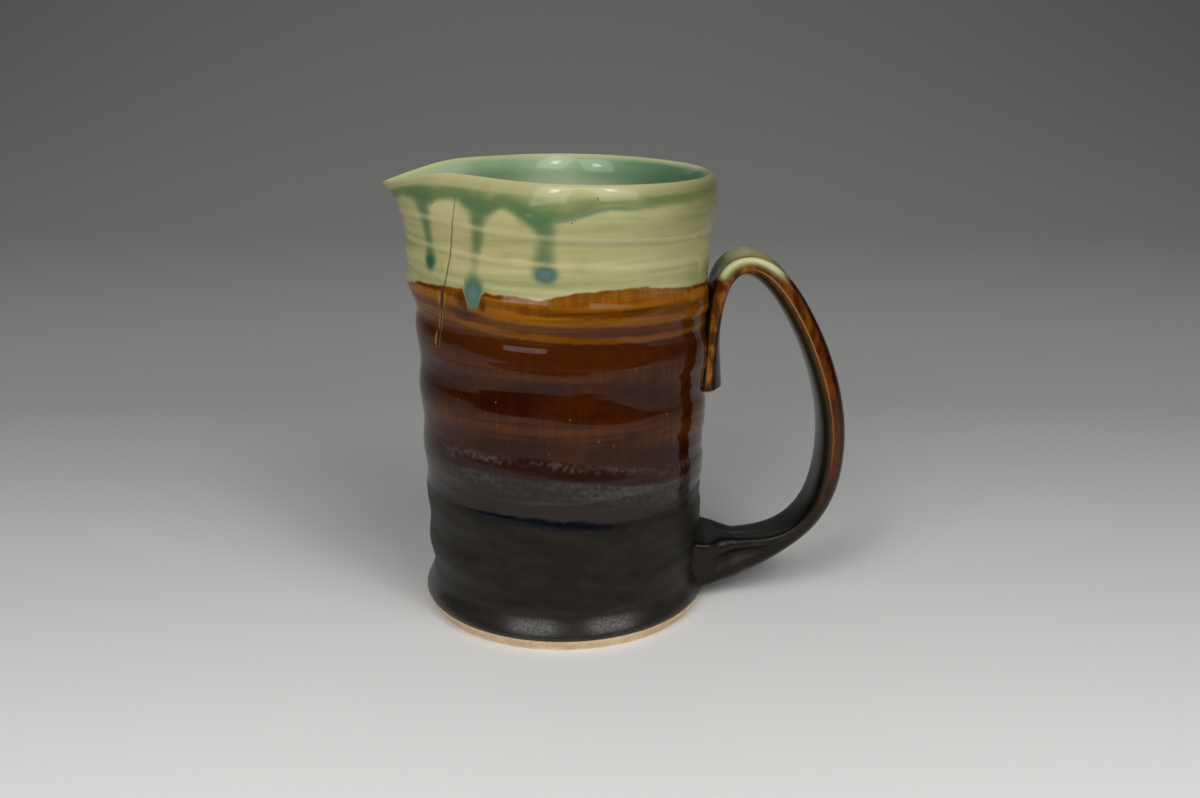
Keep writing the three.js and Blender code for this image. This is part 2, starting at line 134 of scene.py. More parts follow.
# The glaze line between celadon and amber: angle and height, the run that notches it, and its fine waver
GLAZE_LINE = (
    (0, 88.0), (25, 89.5), (60, 90.5), (95, 89.2), (130, 90.6), (160, 88.6), (180, 87.0), (195, 88.0),
    (207, 89.6), (222, 90.2), (233, 90.4), (244, 90.0), (255, 89.8), (263, 89.0), (270, 89.8), (277, 90.8),
    (300, 91.2), (310, 90.2), (322, 89.2), (335, 88.6), (345, 88.0), (360, 88.0),
)
NOTCH_ANGLE = 238
NOTCH_EDGES = (1.6, 4.8)
NOTCH_DEPTH = 4.2
GLAZE_WAVER = 0.16
GLAZE_WAVES = (23, 41, 67)
# Dark patches in the amber round the notch: angle, height, half-width in degrees and half-height
AMBER_PATCHES = ((233.2, 87.2, 2.2, 2.1), (242.2, 86.8, 1.3, 1.6), (234.5, 84.6, 7, 1.2))
# The bands in the amber follow the throwing spiral from this height, with a lift at each angle
BAND_TOP = 91
BAND_LIFTS = (
    (0, -2.2), (60, -1), (120, 1.2), (180, 3.4), (205, 3.8), (223, 3.5), (230, 3.1), (249, 1.2), (274, 0),
    (302, -1), (335, -2), (360, -2.2),
)

# Green runs down the collar: first the drop at the run's end, as angle, height, half-width, half-height and
# blueness, then the run's rows from the top, as angle, height, half-width in degrees and strength
RUNS = (
    (
        (215.2, 95, 3.6, 2.4, 0.2),
        (206, 111.5, 9, 0.3), (205.5, 110, 9, 0.7), (209, 107.4, 4.4, 0.9), (211.6, 105.2, 3.2, 0.9),
        (213, 101, 2.8, 0.85), (214.4, 98, 2.8, 0.9), (215.2, 95, 3.4, 1),
    ),
    (
        (238, 89.6, 4.6, 4.6, 1),
        (238, 111.5, 10, 0.3), (238, 110, 10, 0.7), (239.4, 108, 6.6, 0.9), (239.2, 106, 4.2, 0.95),
        (239.1, 102.9, 2.9, 0.9), (238.9, 99.5, 2.5, 0.8), (238.4, 96.4, 2.6, 0.45), (238, 93.6, 3.4, 0.35),
        (238, 90, 4.2, 0.6), (238.6, 85.5, 3.2, 0.6),
    ),
    (
        (265.8, 94.8, 5, 2.3, 1),
        (258, 111, 9, 0.2), (260.5, 109, 8, 0.6), (263.5, 107, 6, 0.9), (265.4, 105, 4, 0.9),
        (265.8, 102.4, 3.4, 0.65), (265.5, 99, 3.8, 0.85), (265.6, 96.4, 4.8, 0.75), (265.8, 94, 4.6, 0.5),
    ),
    (
        (38, 97.4, 4, 2.6, 0.5),
        (36, 111.5, 9, 0.3), (36, 109, 7, 0.9), (38, 104, 3.2, 0.9), (38, 97, 3, 0.9),
    ),
    (
        (82, 94.6, 4.6, 3, 1),
        (84, 111.5, 10, 0.3), (84, 109, 8, 0.9), (82, 103, 3.6, 0.9), (82, 98, 3, 0.5), (82, 94, 3.6, 0.6),
    ),
    (
        (126, 100.2, 3.8, 2.4, 0.3),
        (128, 111.5, 9, 0.3), (128, 109, 7, 0.9), (127, 105, 3.4, 0.9), (126, 100, 2.8, 0.9),
    ),
)
# Where a run fades out, below and above its last row, how square its sides are, how a ridge thins it,
# and how far its drop and the drop's blue spread
RUN_FADE = (1.5, 1)
RUN_SQUARENESS = 2.3
RUN_THINNING = 0.6
DROP_SPREAD = 0.95
BLUE_SPREAD = 0.85
# The green wash under the rim: angle, height of its middle and strength
WASH_LINE = (
    (0, 111.6, 0.9), (30, 110.8, 0.8), (60, 110, 0.9), (90, 110.6, 0.8), (120, 109.4, 1), (150, 110.2, 0.9),
    (180, 110.6, 1), (195, 111.2, 1), (205, 110.4, 1), (212, 109.4, 1), (218, 110.6, 1), (224, 111, 1),
    (229, 110.8, 1), (234, 109.4, 1), (239, 108.8, 1), (244, 108.7, 1), (249, 110, 1), (252, 110.1, 0.9),
    (257, 109, 1), (261, 107.4, 1), (265, 107, 1), (269, 108.1, 0.9), (273, 108, 0.9), (276, 108.5, 0.9),
    (280, 109.6, 0.7), (284, 110.4, 0.6), (288, 110.8, 0.5), (297, 110.4, 0.6), (303, 111, 0.85),
    (312, 111.2, 0.9), (325, 111.4, 0.9), (335, 111.8, 0.9), (360, 111.6, 0.9),
)
# How far the wash spreads down and up, and its strength right under the lip
WASH_SPREADS = (1.25, 2.4)
WASH_FLOOR = 0.25
# The bluish edge under the wash: angle, spread, drop below the wash's middle and half-height
WASH_EDGE = (284, 20, 0.9, 0.5)

# The thin glaze round the rim and over the lip: where each fades in, the second counted from the lip's top
THIN_RISE = (111.4, 113.4)
LIP_RISE = (-0.9, 0.3)
# The olive shade by the handle is painted shade, darkening that side of the collar
# A tan blush round the runs and an olive shade by the handle: angle, spread, and where each fades in,
# with the olive's least share below that
TAN = (236, 32)
TAN_RISE = (92, 97)
SHADE = (338, 34)
SHADE_RISE = (100, 110)
SHADE_LEAST = 0.35
# The deeper green is partly pooled glaze and partly painted shade under the rim; the pale haze is partly
# painted light
# Inside, the green deepens and a milky haze thins out towards the handle: from and to along x, then heights
DEEP_ACROSS = (-6, 30)
DEEP_RISE = (60, 100)
HAZE_ACROSS = (28, 6)
HAZE_HEIGHT = 104
HAZE_SPREAD = 3.4
# The shares of the outer face where the inside's colour begins and is full
INSIDE_EDGE = (0.8, 0.2)

# The frost in the brown glaze and the dark line under it, a painted dark reflection: angle and height
FROST_LINE = (
    (0, 44), (60, 47), (120, 48.5), (180, 47.5), (219, 48.8), (235, 49.8), (250, 49.4), (270, 49),
    (285, 47.8), (297, 46.4), (315, 44.4), (360, 44),
)
DARK_LINE = (
    (0, 32), (60, 33.5), (120, 34.5), (180, 33.6), (221, 34), (233, 34.2), (244, 34.8), (258, 34.2),
    (276, 33.4), (298, 32.2), (315, 31.8), (360, 32),
)
# How dark that line's painted reflection is: angle and share
DARK_SHARES = ((0, 0.3), (190, 0.3), (222, 0.35), (238, 1), (288, 1), (306, 0.3), (360, 0.3))

# The firing crack: angle and height of its path, top to bottom, and its half-width at those heights
CRACK = (
    (226, 110.8), (226.8, 105.5), (226.1, 101), (226, 96.5), (224.9, 92.6), (223.7, 90), (222.8, 85.6),
    (221.6, 83.4), (219.7, 80.3), (218.9, 76.5), (218.3, 73.8),
)
CRACK_WIDTHS = (
    (73.8, 0.05), (75.6, 0.42), (77.6, 0.4), (80.4, 0.22), (83.4, 0.26), (86, 0.42), (88.4, 0.42), (91, 0.28),
    (100, 0.18), (109, 0.15), (110.8, 0.05),
)
CRACK_TOP = CRACK[0][1]
CRACK_END = CRACK[-1][1]
# The crack's depth, and the pale edge's place and spread, in half-widths, with its strength
CRACK_DEPTH = 1.6
CRACK_EDGE = (1.7, 0.5, 0.8)
# How far above its end the crack's line fades in
CRACK_FADE = 1
# The mesh column that leads along the crack, how far round it the columns follow, and how they crowd up to it
CRACK_COLUMN = 225
CRACK_FOLLOW = 24
CRACK_CROWD = 7
CRACK_CROWDING = 0.86

# The strap handle's centre line, as far and height of each span's four guides
STRAP_SPANS = (
    ((38.55, 57.4), (38.55, 74.4), (38.65, 91.4), (47.25, 91.4)),
    ((47.25, 91.4), (55.85, 91.4), (71.35, 64.0), (71.35, 43.0)),
    ((71.35, 43.0), (71.35, 19.0), (58.35, 13.95), (47.35, 11.15)),
    ((47.35, 11.15), (43.4, 10.15), (39.0, 10.6), (35.1, 10.6)),
)
# The strap's section: place along the spans, how far its near edge leans in, then half of the section from
# the middle of its outer face, round one edge, to the middle of its inner face, as across and out
STRAP_SECTIONS = (
    (0, 0, ((0, 4), (3.5, 3.8), (6, 3.2), (7, 2.5), (7.2, 1.7),
        (6.9, 0.9), (5.4, -0.6), (2.8, -2), (0, -2.6))),
    (0.45, 0, ((0, 3.2), (3.5, 3), (6.2, 2.4), (7.2, 1.8), (7.4, 0.8),
        (7.1, -0.3), (5.8, -0.9), (3, -1.1), (0, -1.2))),
    (0.75, 0, ((0, 1.6), (3.6, 1.8), (6.4, 2), (7.5, 1.8), (7.8, 0.6),
        (7.6, -0.6), (6.6, -1.2), (3.4, -1.5), (0, -1.6))),
    (1, 0, ((0, 0.4), (3.6, 0.8), (6.4, 1.4), (7.6, 1.5), (8, 0.6),
        (7.8, -0.6), (6.8, -1.6), (3.6, -2.5), (0, -2.8))),
    (1.25, 0, ((0, 2), (3.6, 2.2), (6, 2.4), (7.3, 2.1), (7.8, 1),
        (7.8, -0.2), (7, -1.4), (4.4, -2.4), (0, -2.7))),
    (1.5, 0, ((0, 2.5), (3.6, 2.5), (6, 2.2), (7.2, 1.5), (7.7, 0.6),
        (7.7, -0.4), (7, -1.6), (4.6, -2.5), (0, -2.8))),
    (2.1, 0, ((0, 2.8), (3.6, 2.6), (5.9, 1.9), (7.1, 0.9), (7.6, 0.1),
        (7.7, -0.8), (7, -1.9), (4.6, -2.7), (0, -2.9))),
    (2.65, 0.6, ((0, 2.8), (3.4, 2.7), (5.6, 2.1), (6.8, 1.1), (7, -0.4),
        (7.5, -1.5), (6.7, -2.2), (3.6, -2.5), (0, -2.5))),
    (3, 1.2, ((0, 5.9), (3.2, 5.7), (5.8, 4.6), (6.9, 2.9), (5.6, -0.8),
        (7.2, -3), (6.2, -4.4), (3.4, -4.8), (0, -4.6))),
    (3.5, 0.2, ((0, 7), (3.6, 6.8), (6.6, 5.9), (7.8, 4.2), (6.7, 0.2),
        (8.2, -3.8), (7.2, -5.5), (4, -6.1), (0, -6))),
    (3.8, 0, ((0, 7.6), (4, 7.5), (7.6, 6.7), (8.8, 5.2), (8.8, 0.4),
        (9.9, -4.4), (9.8, -5.7), (5, -5.9), (0, -5.8))),
    (3.92, 0, ((0, 7.6), (4.4, 7.5), (8.4, 6.9), (9.9, 5.4), (10, 0.4),
        (10.9, -4.8), (10.6, -6.4), (5.4, -6.8), (0, -6.7))),
    (4, 0, ((0, 7.6), (5.4, 7.5), (10.6, 7.4), (12.6, 6), (12.8, 0.4),
        (13.6, -6), (12.8, -8.8), (6.4, -9.6), (0, -9.6))),
)
STRAP_LEAN_WIDTH = 8
# How far the tongue's end is domed, and the rings that close both ends, as shares of the section
TONGUE_DOME = 2
TONGUE_RINGS = (0, 0.35, 0.6, 0.8, 0.9, 0.97)
TAIL_RINGS = (0.7, 0.35, 0)
# How the strap's ends meet the wall: how deep they sink in, and how softly they run out, along these places
PAD_SINK = 0.25
PAD_RUNS = (0.05, 1.3)
PAD_START = (3.1, 3.7)
PAD_END = (3.66, 3.97)
# Where one of the handle's coats ends and the next begins, and the corners of its section, counted in guides
STRAP_BREAKS = (0.025, 0.71, 1.21, 2.5, 4)
OUTER_CORNER = 3
INNER_CORNER = 5

# How finely the surfaces are divided
COLUMNS = 288
CLAY_COLUMNS = 144
OUTER_ROW = 0.5
INNER_ROW = 1.8
LIP_STEPS = 9
FILLET_STEPS = 9
FLOOR_STEPS = 12
STRAP_COLUMNS = 96
STRAP_ROW = 0.014
MERGE_DISTANCE = 0.002
SHARP_ANGLE = 40


def srgb(red, green, blue):
    """A colour as it looks on a screen, 0 to 255, as the linear colour that a shader takes"""
    linear = []
    for level in (red, green, blue):
        share = level / 255
        linear.append(share / 12.92 if share <= 0.04045 else ((share + 0.055) / 1.055) ** 2.4)
    return (*linear, 1.0)


def smooth(value, low, high):
    """0 at low and 1 at high, eased between, whichever of them is larger"""
    share = np.clip((value - low) / (high - low), 0, 1)
    return share * share * (3 - 2 * share)


def bell(value, spread):
    """1 where the value is 0, falling off on both sides"""
    return np.exp(-((value / spread) ** 2))


def eased(value, pairs):
    """Eases from one (place, level) pair to the next"""
    places, levels = np.array(pairs, float).T
    span = np.clip(np.searchsorted(places, value, side="right") - 1, 0, len(places) - 2)
    share = smooth(value, places[span], places[span + 1])
    return levels[span] + (levels[span + 1] - levels[span]) * share


def straight(value, pairs):
    """Straight lines from one (place, level) pair to the next, whichever way the places run"""
    places, levels = np.array(sorted(pairs), float).T
    return np.interp(value, places, levels)


def turned_from(angle, centre):
    """Degrees from centre to angle, from -180 to 180"""
    return (angle - centre + 180) % 360 - 180


def bell_round(angle, centre, spread):
    """1 at an angle, falling off on both sides round the pot"""
    return bell(turned_from(angle, centre), spread)


def spread_noise(angle, seed, waves):
    """A smooth irregular wave round the pot, about -1 to 1"""
    total = np.zeros_like(angle)
    for count in waves:
        total += np.sin(np.radians(count * angle) + seed * (1.7 + count)) / len(waves)
    return total


# The thrown shape

def outer_radius(height):
    return eased(height, WALL_LINE)


def inner_radius(height):
    return outer_radius(height) - WALL_THICKNESS


def ring_turn(angle, height):
    """How many turns of the spiral lie below, with whole numbers on its crests"""
    past_spout = SPOUT + (angle - SPOUT) % 360
    share = smooth(height, *CLIMB_CHANGE)
    climb = straight(past_spout, LOW_CLIMB) * (1 - share) + straight(past_spout, HIGH_CLIMB) * share
    return straight(height, RING_CRESTS) + climb


def ring_depth(angle, height):
    """How far the fingers pressed in: a short slope above each crest and a long one up to the next"""
    turn = ring_turn(angle, height)
    phase = turn % 1
    above = smooth(phase, 0, RING_VALLEY)
    below = 1 - smooth(phase, RING_VALLEY, 1)
    depth = np.where(phase < RING_VALLEY, above, below) * straight(height, RING_DEPTHS)
    for number, centre, spread, least in RING_SWELLS:
        swell = least + (1 - least) * bell_round(angle, centre, spread)
        depth = np.where(np.floor(turn) == number, depth * swell, depth)
    return depth


def fine_rings(angle, height):
    """The fine marks that the fingers left between the rings"""
    turn = ring_turn(angle, height)
    drift = FINE_DRIFT * spread_noise(angle, 3, FINE_DRIFT_WAVES)
    marks = np.zeros_like(height)
    for count, depth in FINE_RINGS:
        swell = 0.5 + 0.5 * spread_noise(angle, count, FINE_SWELL_WAVES)
        marks += depth * np.cos(math.tau * (count * turn + drift)) * swell
    return marks * smooth(height, *FINE_START) * (1 - smooth(height, *FINE_END))


def throwing_lines(angle, height):
    """How much of a fine line's ridge, and of the groove below it, lies at each point of the collar"""
    turn = (height - LINE_HEIGHT) / LINE_PITCH + turned_from(angle, FRONT) / LINE_CLIMB
    phase = (turn + 0.5) % 1 - 0.5
    inside = smooth(height, *LINE_START) * (1 - smooth(height, *LINE_END))
    return [inside * bell(phase - place, spread) for place, spread in (RIDGE_PLACE, GROOVE_PLACE)]


def spout_shift(angle, height):
    """How far the spout moves the wall out, or its cheeks in"""
    away = np.abs(turned_from(angle, SPOUT))
    rim_rise = np.clip((height - (RIM_HEIGHT - SPOUT_FLICK)) / SPOUT_FLICK, 0, 1)
    tip = SPOUT_REACH * rim_rise ** 2 * bell(away, SPOUT_SPREAD)
    throat = THROAT_BULGE * smooth(height, THROAT_START, THROAT_FULL) * bell(away, THROAT_SPREAD)
    cheek_rise = np.clip((height - (RIM_HEIGHT - CHEEK_DROP)) / CHEEK_DROP, 0, 1)
    cheek = CHEEK_PINCH * cheek_rise ** CHEEK_EASE * bell(away - CHEEK_ANGLE, CHEEK_SPREAD)
    return tip + throat * (1 - rim_rise) + throat * rim_rise * bell(away, SPOUT_SPREAD) - cheek


def rim_lift(angle, radius, height):
    """How far the rim is lifted by its tilt and lowered at the spout's tip"""
    share = np.clip((height - TILT_START) / (RIM_HEIGHT - TILT_START), 0, 1) ** 2
    tilt = -RIM_TILT * radius * np.cos(np.radians(angle))
    return share * (tilt - SPOUT_DIP * bell_round(angle, SPOUT, SPOUT_SPREAD))


def crack_angle(height):
    return straight(height, [(level, angle) for angle, level in CRACK])


def crack_distance(angle, height):
    """How far a point of the wall lies from the crack's path, round the pot"""
    return np.radians(turned_from(angle, crack_angle(height))) * outer_radius(height)


def crack_span(height):
    """Whether the crack reaches a height"""
    return (height > CRACK_END) & (height < CRACK_TOP)


def follow_crack(angle, height):
    """Crowds the columns round the crack and leads them along its path"""
    apart = turned_from(angle, CRACK_COLUMN)
    lead = (crack_angle(height) - CRACK_COLUMN) * bell(apart, CRACK_FOLLOW)
    return angle + lead - CRACK_CROWDING * apart * bell(apart, CRACK_CROWD)


def amber_top(angle):
    """The height where the amber was brushed up to"""
    return straight(angle % 360, GLAZE_LINE) + GLAZE_WAVER * spread_noise(angle, 2, GLAZE_WAVES)


def glaze_line(angle):
    """The height of the line where the celadon ends"""
    notch = NOTCH_DEPTH * (1 - smooth(np.abs(turned_from(angle, NOTCH_ANGLE)), *NOTCH_EDGES))
    return amber_top(angle) - notch


def oval_reach(angle, height, centre, level, half_width, half_height):
    """How far a point lies from an oval's middle, where its edge is at 1"""
    return np.hypot(turned_from(angle, centre) / half_width, (height - level) / half_height)


def run_shares(angle, height):
    """How much of a green run, of its drop and of the drop's blue lies at each point of the collar"""
    run = np.zeros_like(height)
    drop = np.zeros_like(height)
    blue = np.zeros_like(height)
    for (*oval, blueness), *path in RUNS:
        lowest = path[-1][1]
        below, above = RUN_FADE
        strength = through_rows(height, path, 3) * smooth(height, lowest - below, lowest + above)
        apart = np.abs(turned_from(angle, through_rows(height, path, 0)) / through_rows(height, path, 2))
        run = np.maximum(run, strength * np.exp(-apart ** RUN_SQUARENESS))
        reach = oval_reach(angle, height, *oval)
        drop = np.maximum(drop, bell(reach, DROP_SPREAD))
        blue = np.maximum(blue, blueness * bell(reach, BLUE_SPREAD))
    return run, drop, blue


def through_rows(height, path, column):
    """A column of a run's rows, read at a height"""
    return straight(height, [(row[1], row[column]) for row in path])


def wash_share(angle, height):
    """How much of the green wash under the rim, and of its bluish edge, lies at each point of the collar"""
    above = height - straight(angle % 360, [row[:2] for row in WASH_LINE])
    strength = straight(angle % 360, [row[::2] for row in WASH_LINE])
    down, up = WASH_SPREADS
    towards_lip = WASH_FLOOR + (1 - WASH_FLOOR) * bell(above, up)
    share = np.where(above < 0, bell(above, down), towards_lip)
    centre, spread, drop, half = WASH_EDGE
    return share * strength, bell_round(angle, centre, spread) * bell(above + drop, half)


def patch_share(angle, height):
    """How much of a dark patch lies at each point of the amber"""
    share = np.zeros_like(height)
    for oval in AMBER_PATCHES:
        share = np.maximum(share, bell(oval_reach(angle, height, *oval), 1))
    return share


def band_depth(angle, height):
    """How far below the start of the amber's bands"""
    return BAND_TOP + straight(angle % 360, BAND_LIFTS) - height


def wall_radius(angle, height):
    """The radius of the glazed wall on the handle's side"""
    return outer_radius(height) + GLAZE_FACE - ring_depth(angle, height)


# Modelling steps that the pieces share

def deselect_all():
    bpy.ops.object.select_all(action="DESELECT")


def points_of(piece):
    """The mesh's points as rows of x, y and z in millimetres"""
    flat = np.empty(len(piece.data.vertices) * 3)
    piece.data.vertices.foreach_get("co", flat)
    return flat.reshape(-1, 3) / MM


def move_points(piece, points):
    piece.data.vertices.foreach_set("co", (points * MM).ravel())
    piece.data.update()


def note(piece, **levels):
    """Keeps a level for each point of the mesh, for the materials to read"""
    for name, level in levels.items():
        mark = piece.data.attributes.new(name, "FLOAT", "POINT")
        mark.data.foreach_set("value", np.asarray(level, np.float32))


def new_piece(name):
    """The primitive that was just added, under its piece's name"""
    piece = bpy.context.object
    piece.name = name
    piece.data.name = name
    return piece


def mend():
    """Joins the active piece's points that meet and turns every face outwards"""
    bpy.ops.object.mode_set(mode="EDIT")
    bpy.ops.mesh.select_all(action="SELECT")
    bpy.ops.mesh.remove_doubles(threshold=MERGE_DISTANCE * MM)
    bpy.ops.mesh.normals_make_consistent(inside=False)
    bpy.ops.object.mode_set(mode="OBJECT")


def thicken(piece):
    """Gives a coat its thickness, inwards from its outer face"""
    coat = piece.modifiers.new("glaze", "SOLIDIFY")
    coat.thickness = GLAZE * MM
    coat.offset = -1
    bpy.ops.object.modifier_apply(modifier=coat.name)


def finish_piece(piece, material, nodes):
    """Smooths a piece, dresses it and lets it stand for its CAD nodes"""
    deselect_all()
    piece.select_set(True)
    bpy.context.view_layer.objects.active = piece
    bpy.ops.object.shade_smooth_by_angle(angle=math.radians(SHARP_ANGLE))
    piece.data.materials.append(material)
    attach(piece, "root")
    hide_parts(*nodes)


def throw(name, profile, columns):
    """Spins a profile of (radius, height) pairs round the axis, as on a wheel"""
    deselect_all()
    bpy.ops.mesh.primitive_plane_add(size=MM)
    piece = new_piece(name)
    places = [Vector((radius * MM, 0, height * MM)) for radius, height in profile]
    bpy.ops.object.mode_set(mode="EDIT")
    bpy.ops.mesh.merge(type="CENTER")
    bpy.ops.transform.translate(value=places[0])
    for start, end in zip(places, places[1:]):
        bpy.ops.mesh.extrude_vertices_move(TRANSFORM_OT_translate={"value": end - start})
    bpy.ops.mesh.select_all(action="SELECT")
    bpy.ops.mesh.spin(steps=columns, angle=math.tau, center=(0, 0, 0), axis=(0, 0, 1))
    bpy.ops.object.mode_set(mode="OBJECT")
    mend()
    return piece


def rows_between(low, high, row):
    return np.linspace(low, high, max(2, round(abs(high - low) / row) + 1))


def outer_profile(low, high, off):
    """Up the outer wall, off the clay by a distance"""
    return [(outer_radius(height) + off, height) for height in rows_between(low, high, OUTER_ROW)]


def lip_profile(off):
    """Over the lip, from its outer side, which rolls in, to its inner side, which flares out"""
    peak = outer_radius(LIP_TOP) - LIP_OUTER[0]
    turns = np.linspace(0, math.pi / 2, LIP_STEPS)
    sides = []
    for side, bow, (reach, drop) in ((1, 1, LIP_OUTER), (-1, 2, LIP_INNER)):
        across = side * (reach + off)
        base = LIP_TOP - drop
        rise = drop + off
        sides.append([(peak + across * math.cos(t) ** bow, base + rise * math.sin(t)) for t in turns])
    outer, inner = sides
    return outer + inner[-2::-1]


def inner_profile(off):
    """Down the inner wall, round the fillet and over the floor to the axis"""
    bottom = FLOOR_THICKNESS + FLOOR_FILLET
    corner = inner_radius(bottom) - FLOOR_FILLET
    fillet = FLOOR_FILLET - off
    top = LIP_TOP - LIP_INNER[1]
    wall = [(inner_radius(height) - off, height) for height in rows_between(top, bottom, INNER_ROW)[1:]]
    turns = np.linspace(0, math.pi / 2, FILLET_STEPS)[1:]
    bend = [(corner + fillet * math.cos(t), bottom - fillet * math.sin(t)) for t in turns]
    level = FLOOR_THICKNESS + off
    floor = [(radius, level) for radius in np.linspace(corner, 0, FLOOR_STEPS)[1:]]
    return wall + bend + floor


def shape_by_hand(piece):
    """Rings, pinches and pulls a spun piece, and says where each of its points lies on the pot"""
    x, y, height = points_of(piece).T
    radius = np.hypot(x, y)
    angle = np.degrees(np.arctan2(y, x)) % 360
    outer_share = np.clip(1 - (outer_radius(height) - radius) / (2 * LIP_OUTER[0]), 0, 1)
    angle = (angle + (follow_crack(angle, height) - angle) * outer_share) % 360
    slide = (glaze_line(angle) - COLLAR_LINE) * bell(height - COLLAR_LINE, LINE_SLIDE) * outer_share
    height = height + slide
    ridge, groove = throwing_lines(angle, height)
    marks = ring_depth(angle, height) + fine_rings(angle, height)
    pressed = outer_share * (marks - RIDGE_HEIGHT * ridge + GROOVE_DEPTH * groove)
    on_wall = radius > inner_radius(height) - WALL_THICKNESS
    moved = radius + np.where(on_wall, spout_shift(angle, height) - pressed, 0)
    apart = np.abs(crack_distance(angle, height))
    half = straight(height, CRACK_WIDTHS)
    cut = np.where(crack_span(height), np.clip(1 - (apart / half) ** 2, 0, 1) * half * CRACK_DEPTH, 0)
    moved -= cut * outer_share
    turn = np.radians(angle)
    lifted = height + rim_lift(angle, moved, height)
    move_points(piece, np.stack([moved * np.cos(turn), moved * np.sin(turn), lifted], axis=1))
    return angle, height, outer_share


# Shader maths

class Value:
    """A shader socket that takes part in sums, so that shader maths reads as arithmetic"""

    def __init__(self, finish, socket):
        self.finish = finish
        self.socket = socket

    def maths(self, operation, *terms):
        return self.finish.node("Math", {"operation": operation}, dict(enumerate(terms)))

    def __add__(self, other):
        return self.maths("ADD", self, other)

    def __radd__(self, other):
        return self.maths("ADD", other, self)

    def __sub__(self, other):
        return self.maths("SUBTRACT", self, other)

    def __rsub__(self, other):
        return self.maths("SUBTRACT", other, self)

    def __mul__(self, other):
        return self.maths("MULTIPLY", self, other)

    def __rmul__(self, other):
        return self.maths("MULTIPLY", other, self)

    def __truediv__(self, other):
        return self.maths("DIVIDE", self, other)

    def step(self, low, high):
        """0 at low and 1 at high, eased between, whichever of them is larger"""
        settings = {"interpolation_type": "SMOOTHSTEP"}
        levels = {"From Min": min(low, high), "From Max": max(low, high)}
        rise = self.finish.node("MapRange", settings, {"Value": self, **levels})
        return rise if high > low else 1 - rise

    def window(self, begin, full, fade, end):
        """0 up to begin, 1 from full to fade and 0 past end, eased between"""
        return self.step(begin, full) * self.step(end, fade)

    def swing(self, reach):
        """Noise as a swing of about half the reach either way"""
        return reach * (self - 0.5)


class Finish:
    """A material and the nodes that make it"""

    def __init__(self, name):
        self.material = bpy.data.materials.new(name)
        self.material.use_nodes = True
        self.tree = self.material.node_tree
        self.tree.nodes.clear()

    def node(self, kind, settings=None, sockets=None, output=0):
        """Adds a node, with its settings set first and then its sockets given values or links"""
        node = self.tree.nodes.new("ShaderNode" + kind)
        for name, setting in (settings or {}).items():
            if name == "stops":
                ramp = node.color_ramp
                while len(ramp.elements) < len(setting):
                    ramp.elements.new(0.5)
                for stop, (place, colour) in zip(ramp.elements, setting):
                    stop.position = place
                    stop.color = colour
            else:
                setattr(node, name, setting)
        for name, level in (sockets or {}).items():
            if isinstance(level, Value):
                self.tree.links.new(level.socket, node.inputs[name])
            else:
                node.inputs[name].default_value = level
        return Value(self, node.outputs[output]) if node.outputs else None

    def mix(self, share, first, second):
        """One colour that turns to another as share goes from 0 to 1"""
        return self.node("Mix", {"data_type": "RGBA"}, {0: share, 6: first, 7: second}, output=2)

    def layers(self, colour, *coats):
        """A colour with others laid over it in turn, each by its share"""
        for share, coat in coats:
            colour = self.mix(share, colour, coat)
        return colour

    def mark(self, name):
        """A level that the mesh keeps at each point"""
        return self.node("Attribute", {"attribute_name": name}, output=2)

    def place(self):
        return self.node("TexCoord", output=3)

    def height(self):
        """Height above the base in millimetres"""
        return self.node("SeparateXYZ", sockets={0: self.place()}, output=2) / MM

    def noise(self, scale, stretch, detail):
        """Noise from about 0 to 1, drawn out along the axes where stretch is small"""
        spot = self.node("Mapping", sockets={"Vector": self.place(), "Scale": stretch})
        sockets = {"Vector": spot, "Scale": scale, "Detail": detail, "Roughness": NOISE_ROUGHNESS}
        return self.node("TexNoise", sockets=sockets)

    def specks(self, scale, size):
        """Scattered round specks: 1 in a speck, 0 outside"""
        spot = self.node("TexVoronoi", {"feature": "F1"}, {"Vector": self.place(), "Scale": scale})
        return spot.step(size, size * 0.5)

    def ramp(self, level, stops):
        return self.node("ValToRGB", {"stops": stops}, {"Fac": level})

    def surface(self, colour, roughness, bump=None, bump_height=0, **constants):
        """Closes the material: its colour and roughness, a relief in millimetres, and its constants"""
        sockets = {"Base Color": colour, "Roughness": roughness, **constants}
        if bump is not None:
            relief = {"Height": bump, "Distance": bump_height * MM, "Strength": 1.0}
            sockets["Normal"] = self.node("Bump", sockets=relief)
        shader = self.node("BsdfPrincipled", sockets=sockets)
        self.node("OutputMaterial", sockets={"Surface": shader})
        return self.material


# Finishes: the colours of the clay and the glazes

CLAY_PALE = srgb(228, 200, 166)
CLAY_DEEP = srgb(208, 178, 142)
CLAY_GRIT = srgb(96, 70, 48)
CELADON = srgb(171, 170, 116)
CELADON_PALE = srgb(194, 189, 141)
CELADON_TAN = srgb(190, 177, 126)
CELADON_OLIVE = srgb(146, 150, 98)
CELADON_THIN = srgb(184, 177, 130)
CELADON_WASH = srgb(95, 119, 75)
CELADON_RUN = srgb(84, 114, 78)
CELADON_POOL = srgb(54, 94, 76)
CELADON_BLUE = srgb(90, 118, 112)
OLIVE_SHADE = srgb(108, 108, 62)
INSIDE_GREEN = srgb(133, 160, 121)
INSIDE_DEEP = srgb(84, 118, 88)
INSIDE_PALE = srgb(168, 184, 150)
INSIDE_HAZE = srgb(180, 184, 160)
AMBER = srgb(160, 100, 22)
AMBER_GOLD = srgb(168, 114, 44)
AMBER_DARK = srgb(84, 42, 4)
RED_BROWN = srgb(60, 23, 2)
RED_DARK = srgb(40, 11, 2)
CHESTNUT = srgb(70, 32, 7)
BROWN_EDGE = srgb(92, 46, 11)
ORANGE_SPECK = srgb(168, 92, 30)
GREY_SHEEN = srgb(37, 33, 30)
GREY_PALE = srgb(78, 76, 74)
BLUE_BLACK = srgb(11, 13, 18)
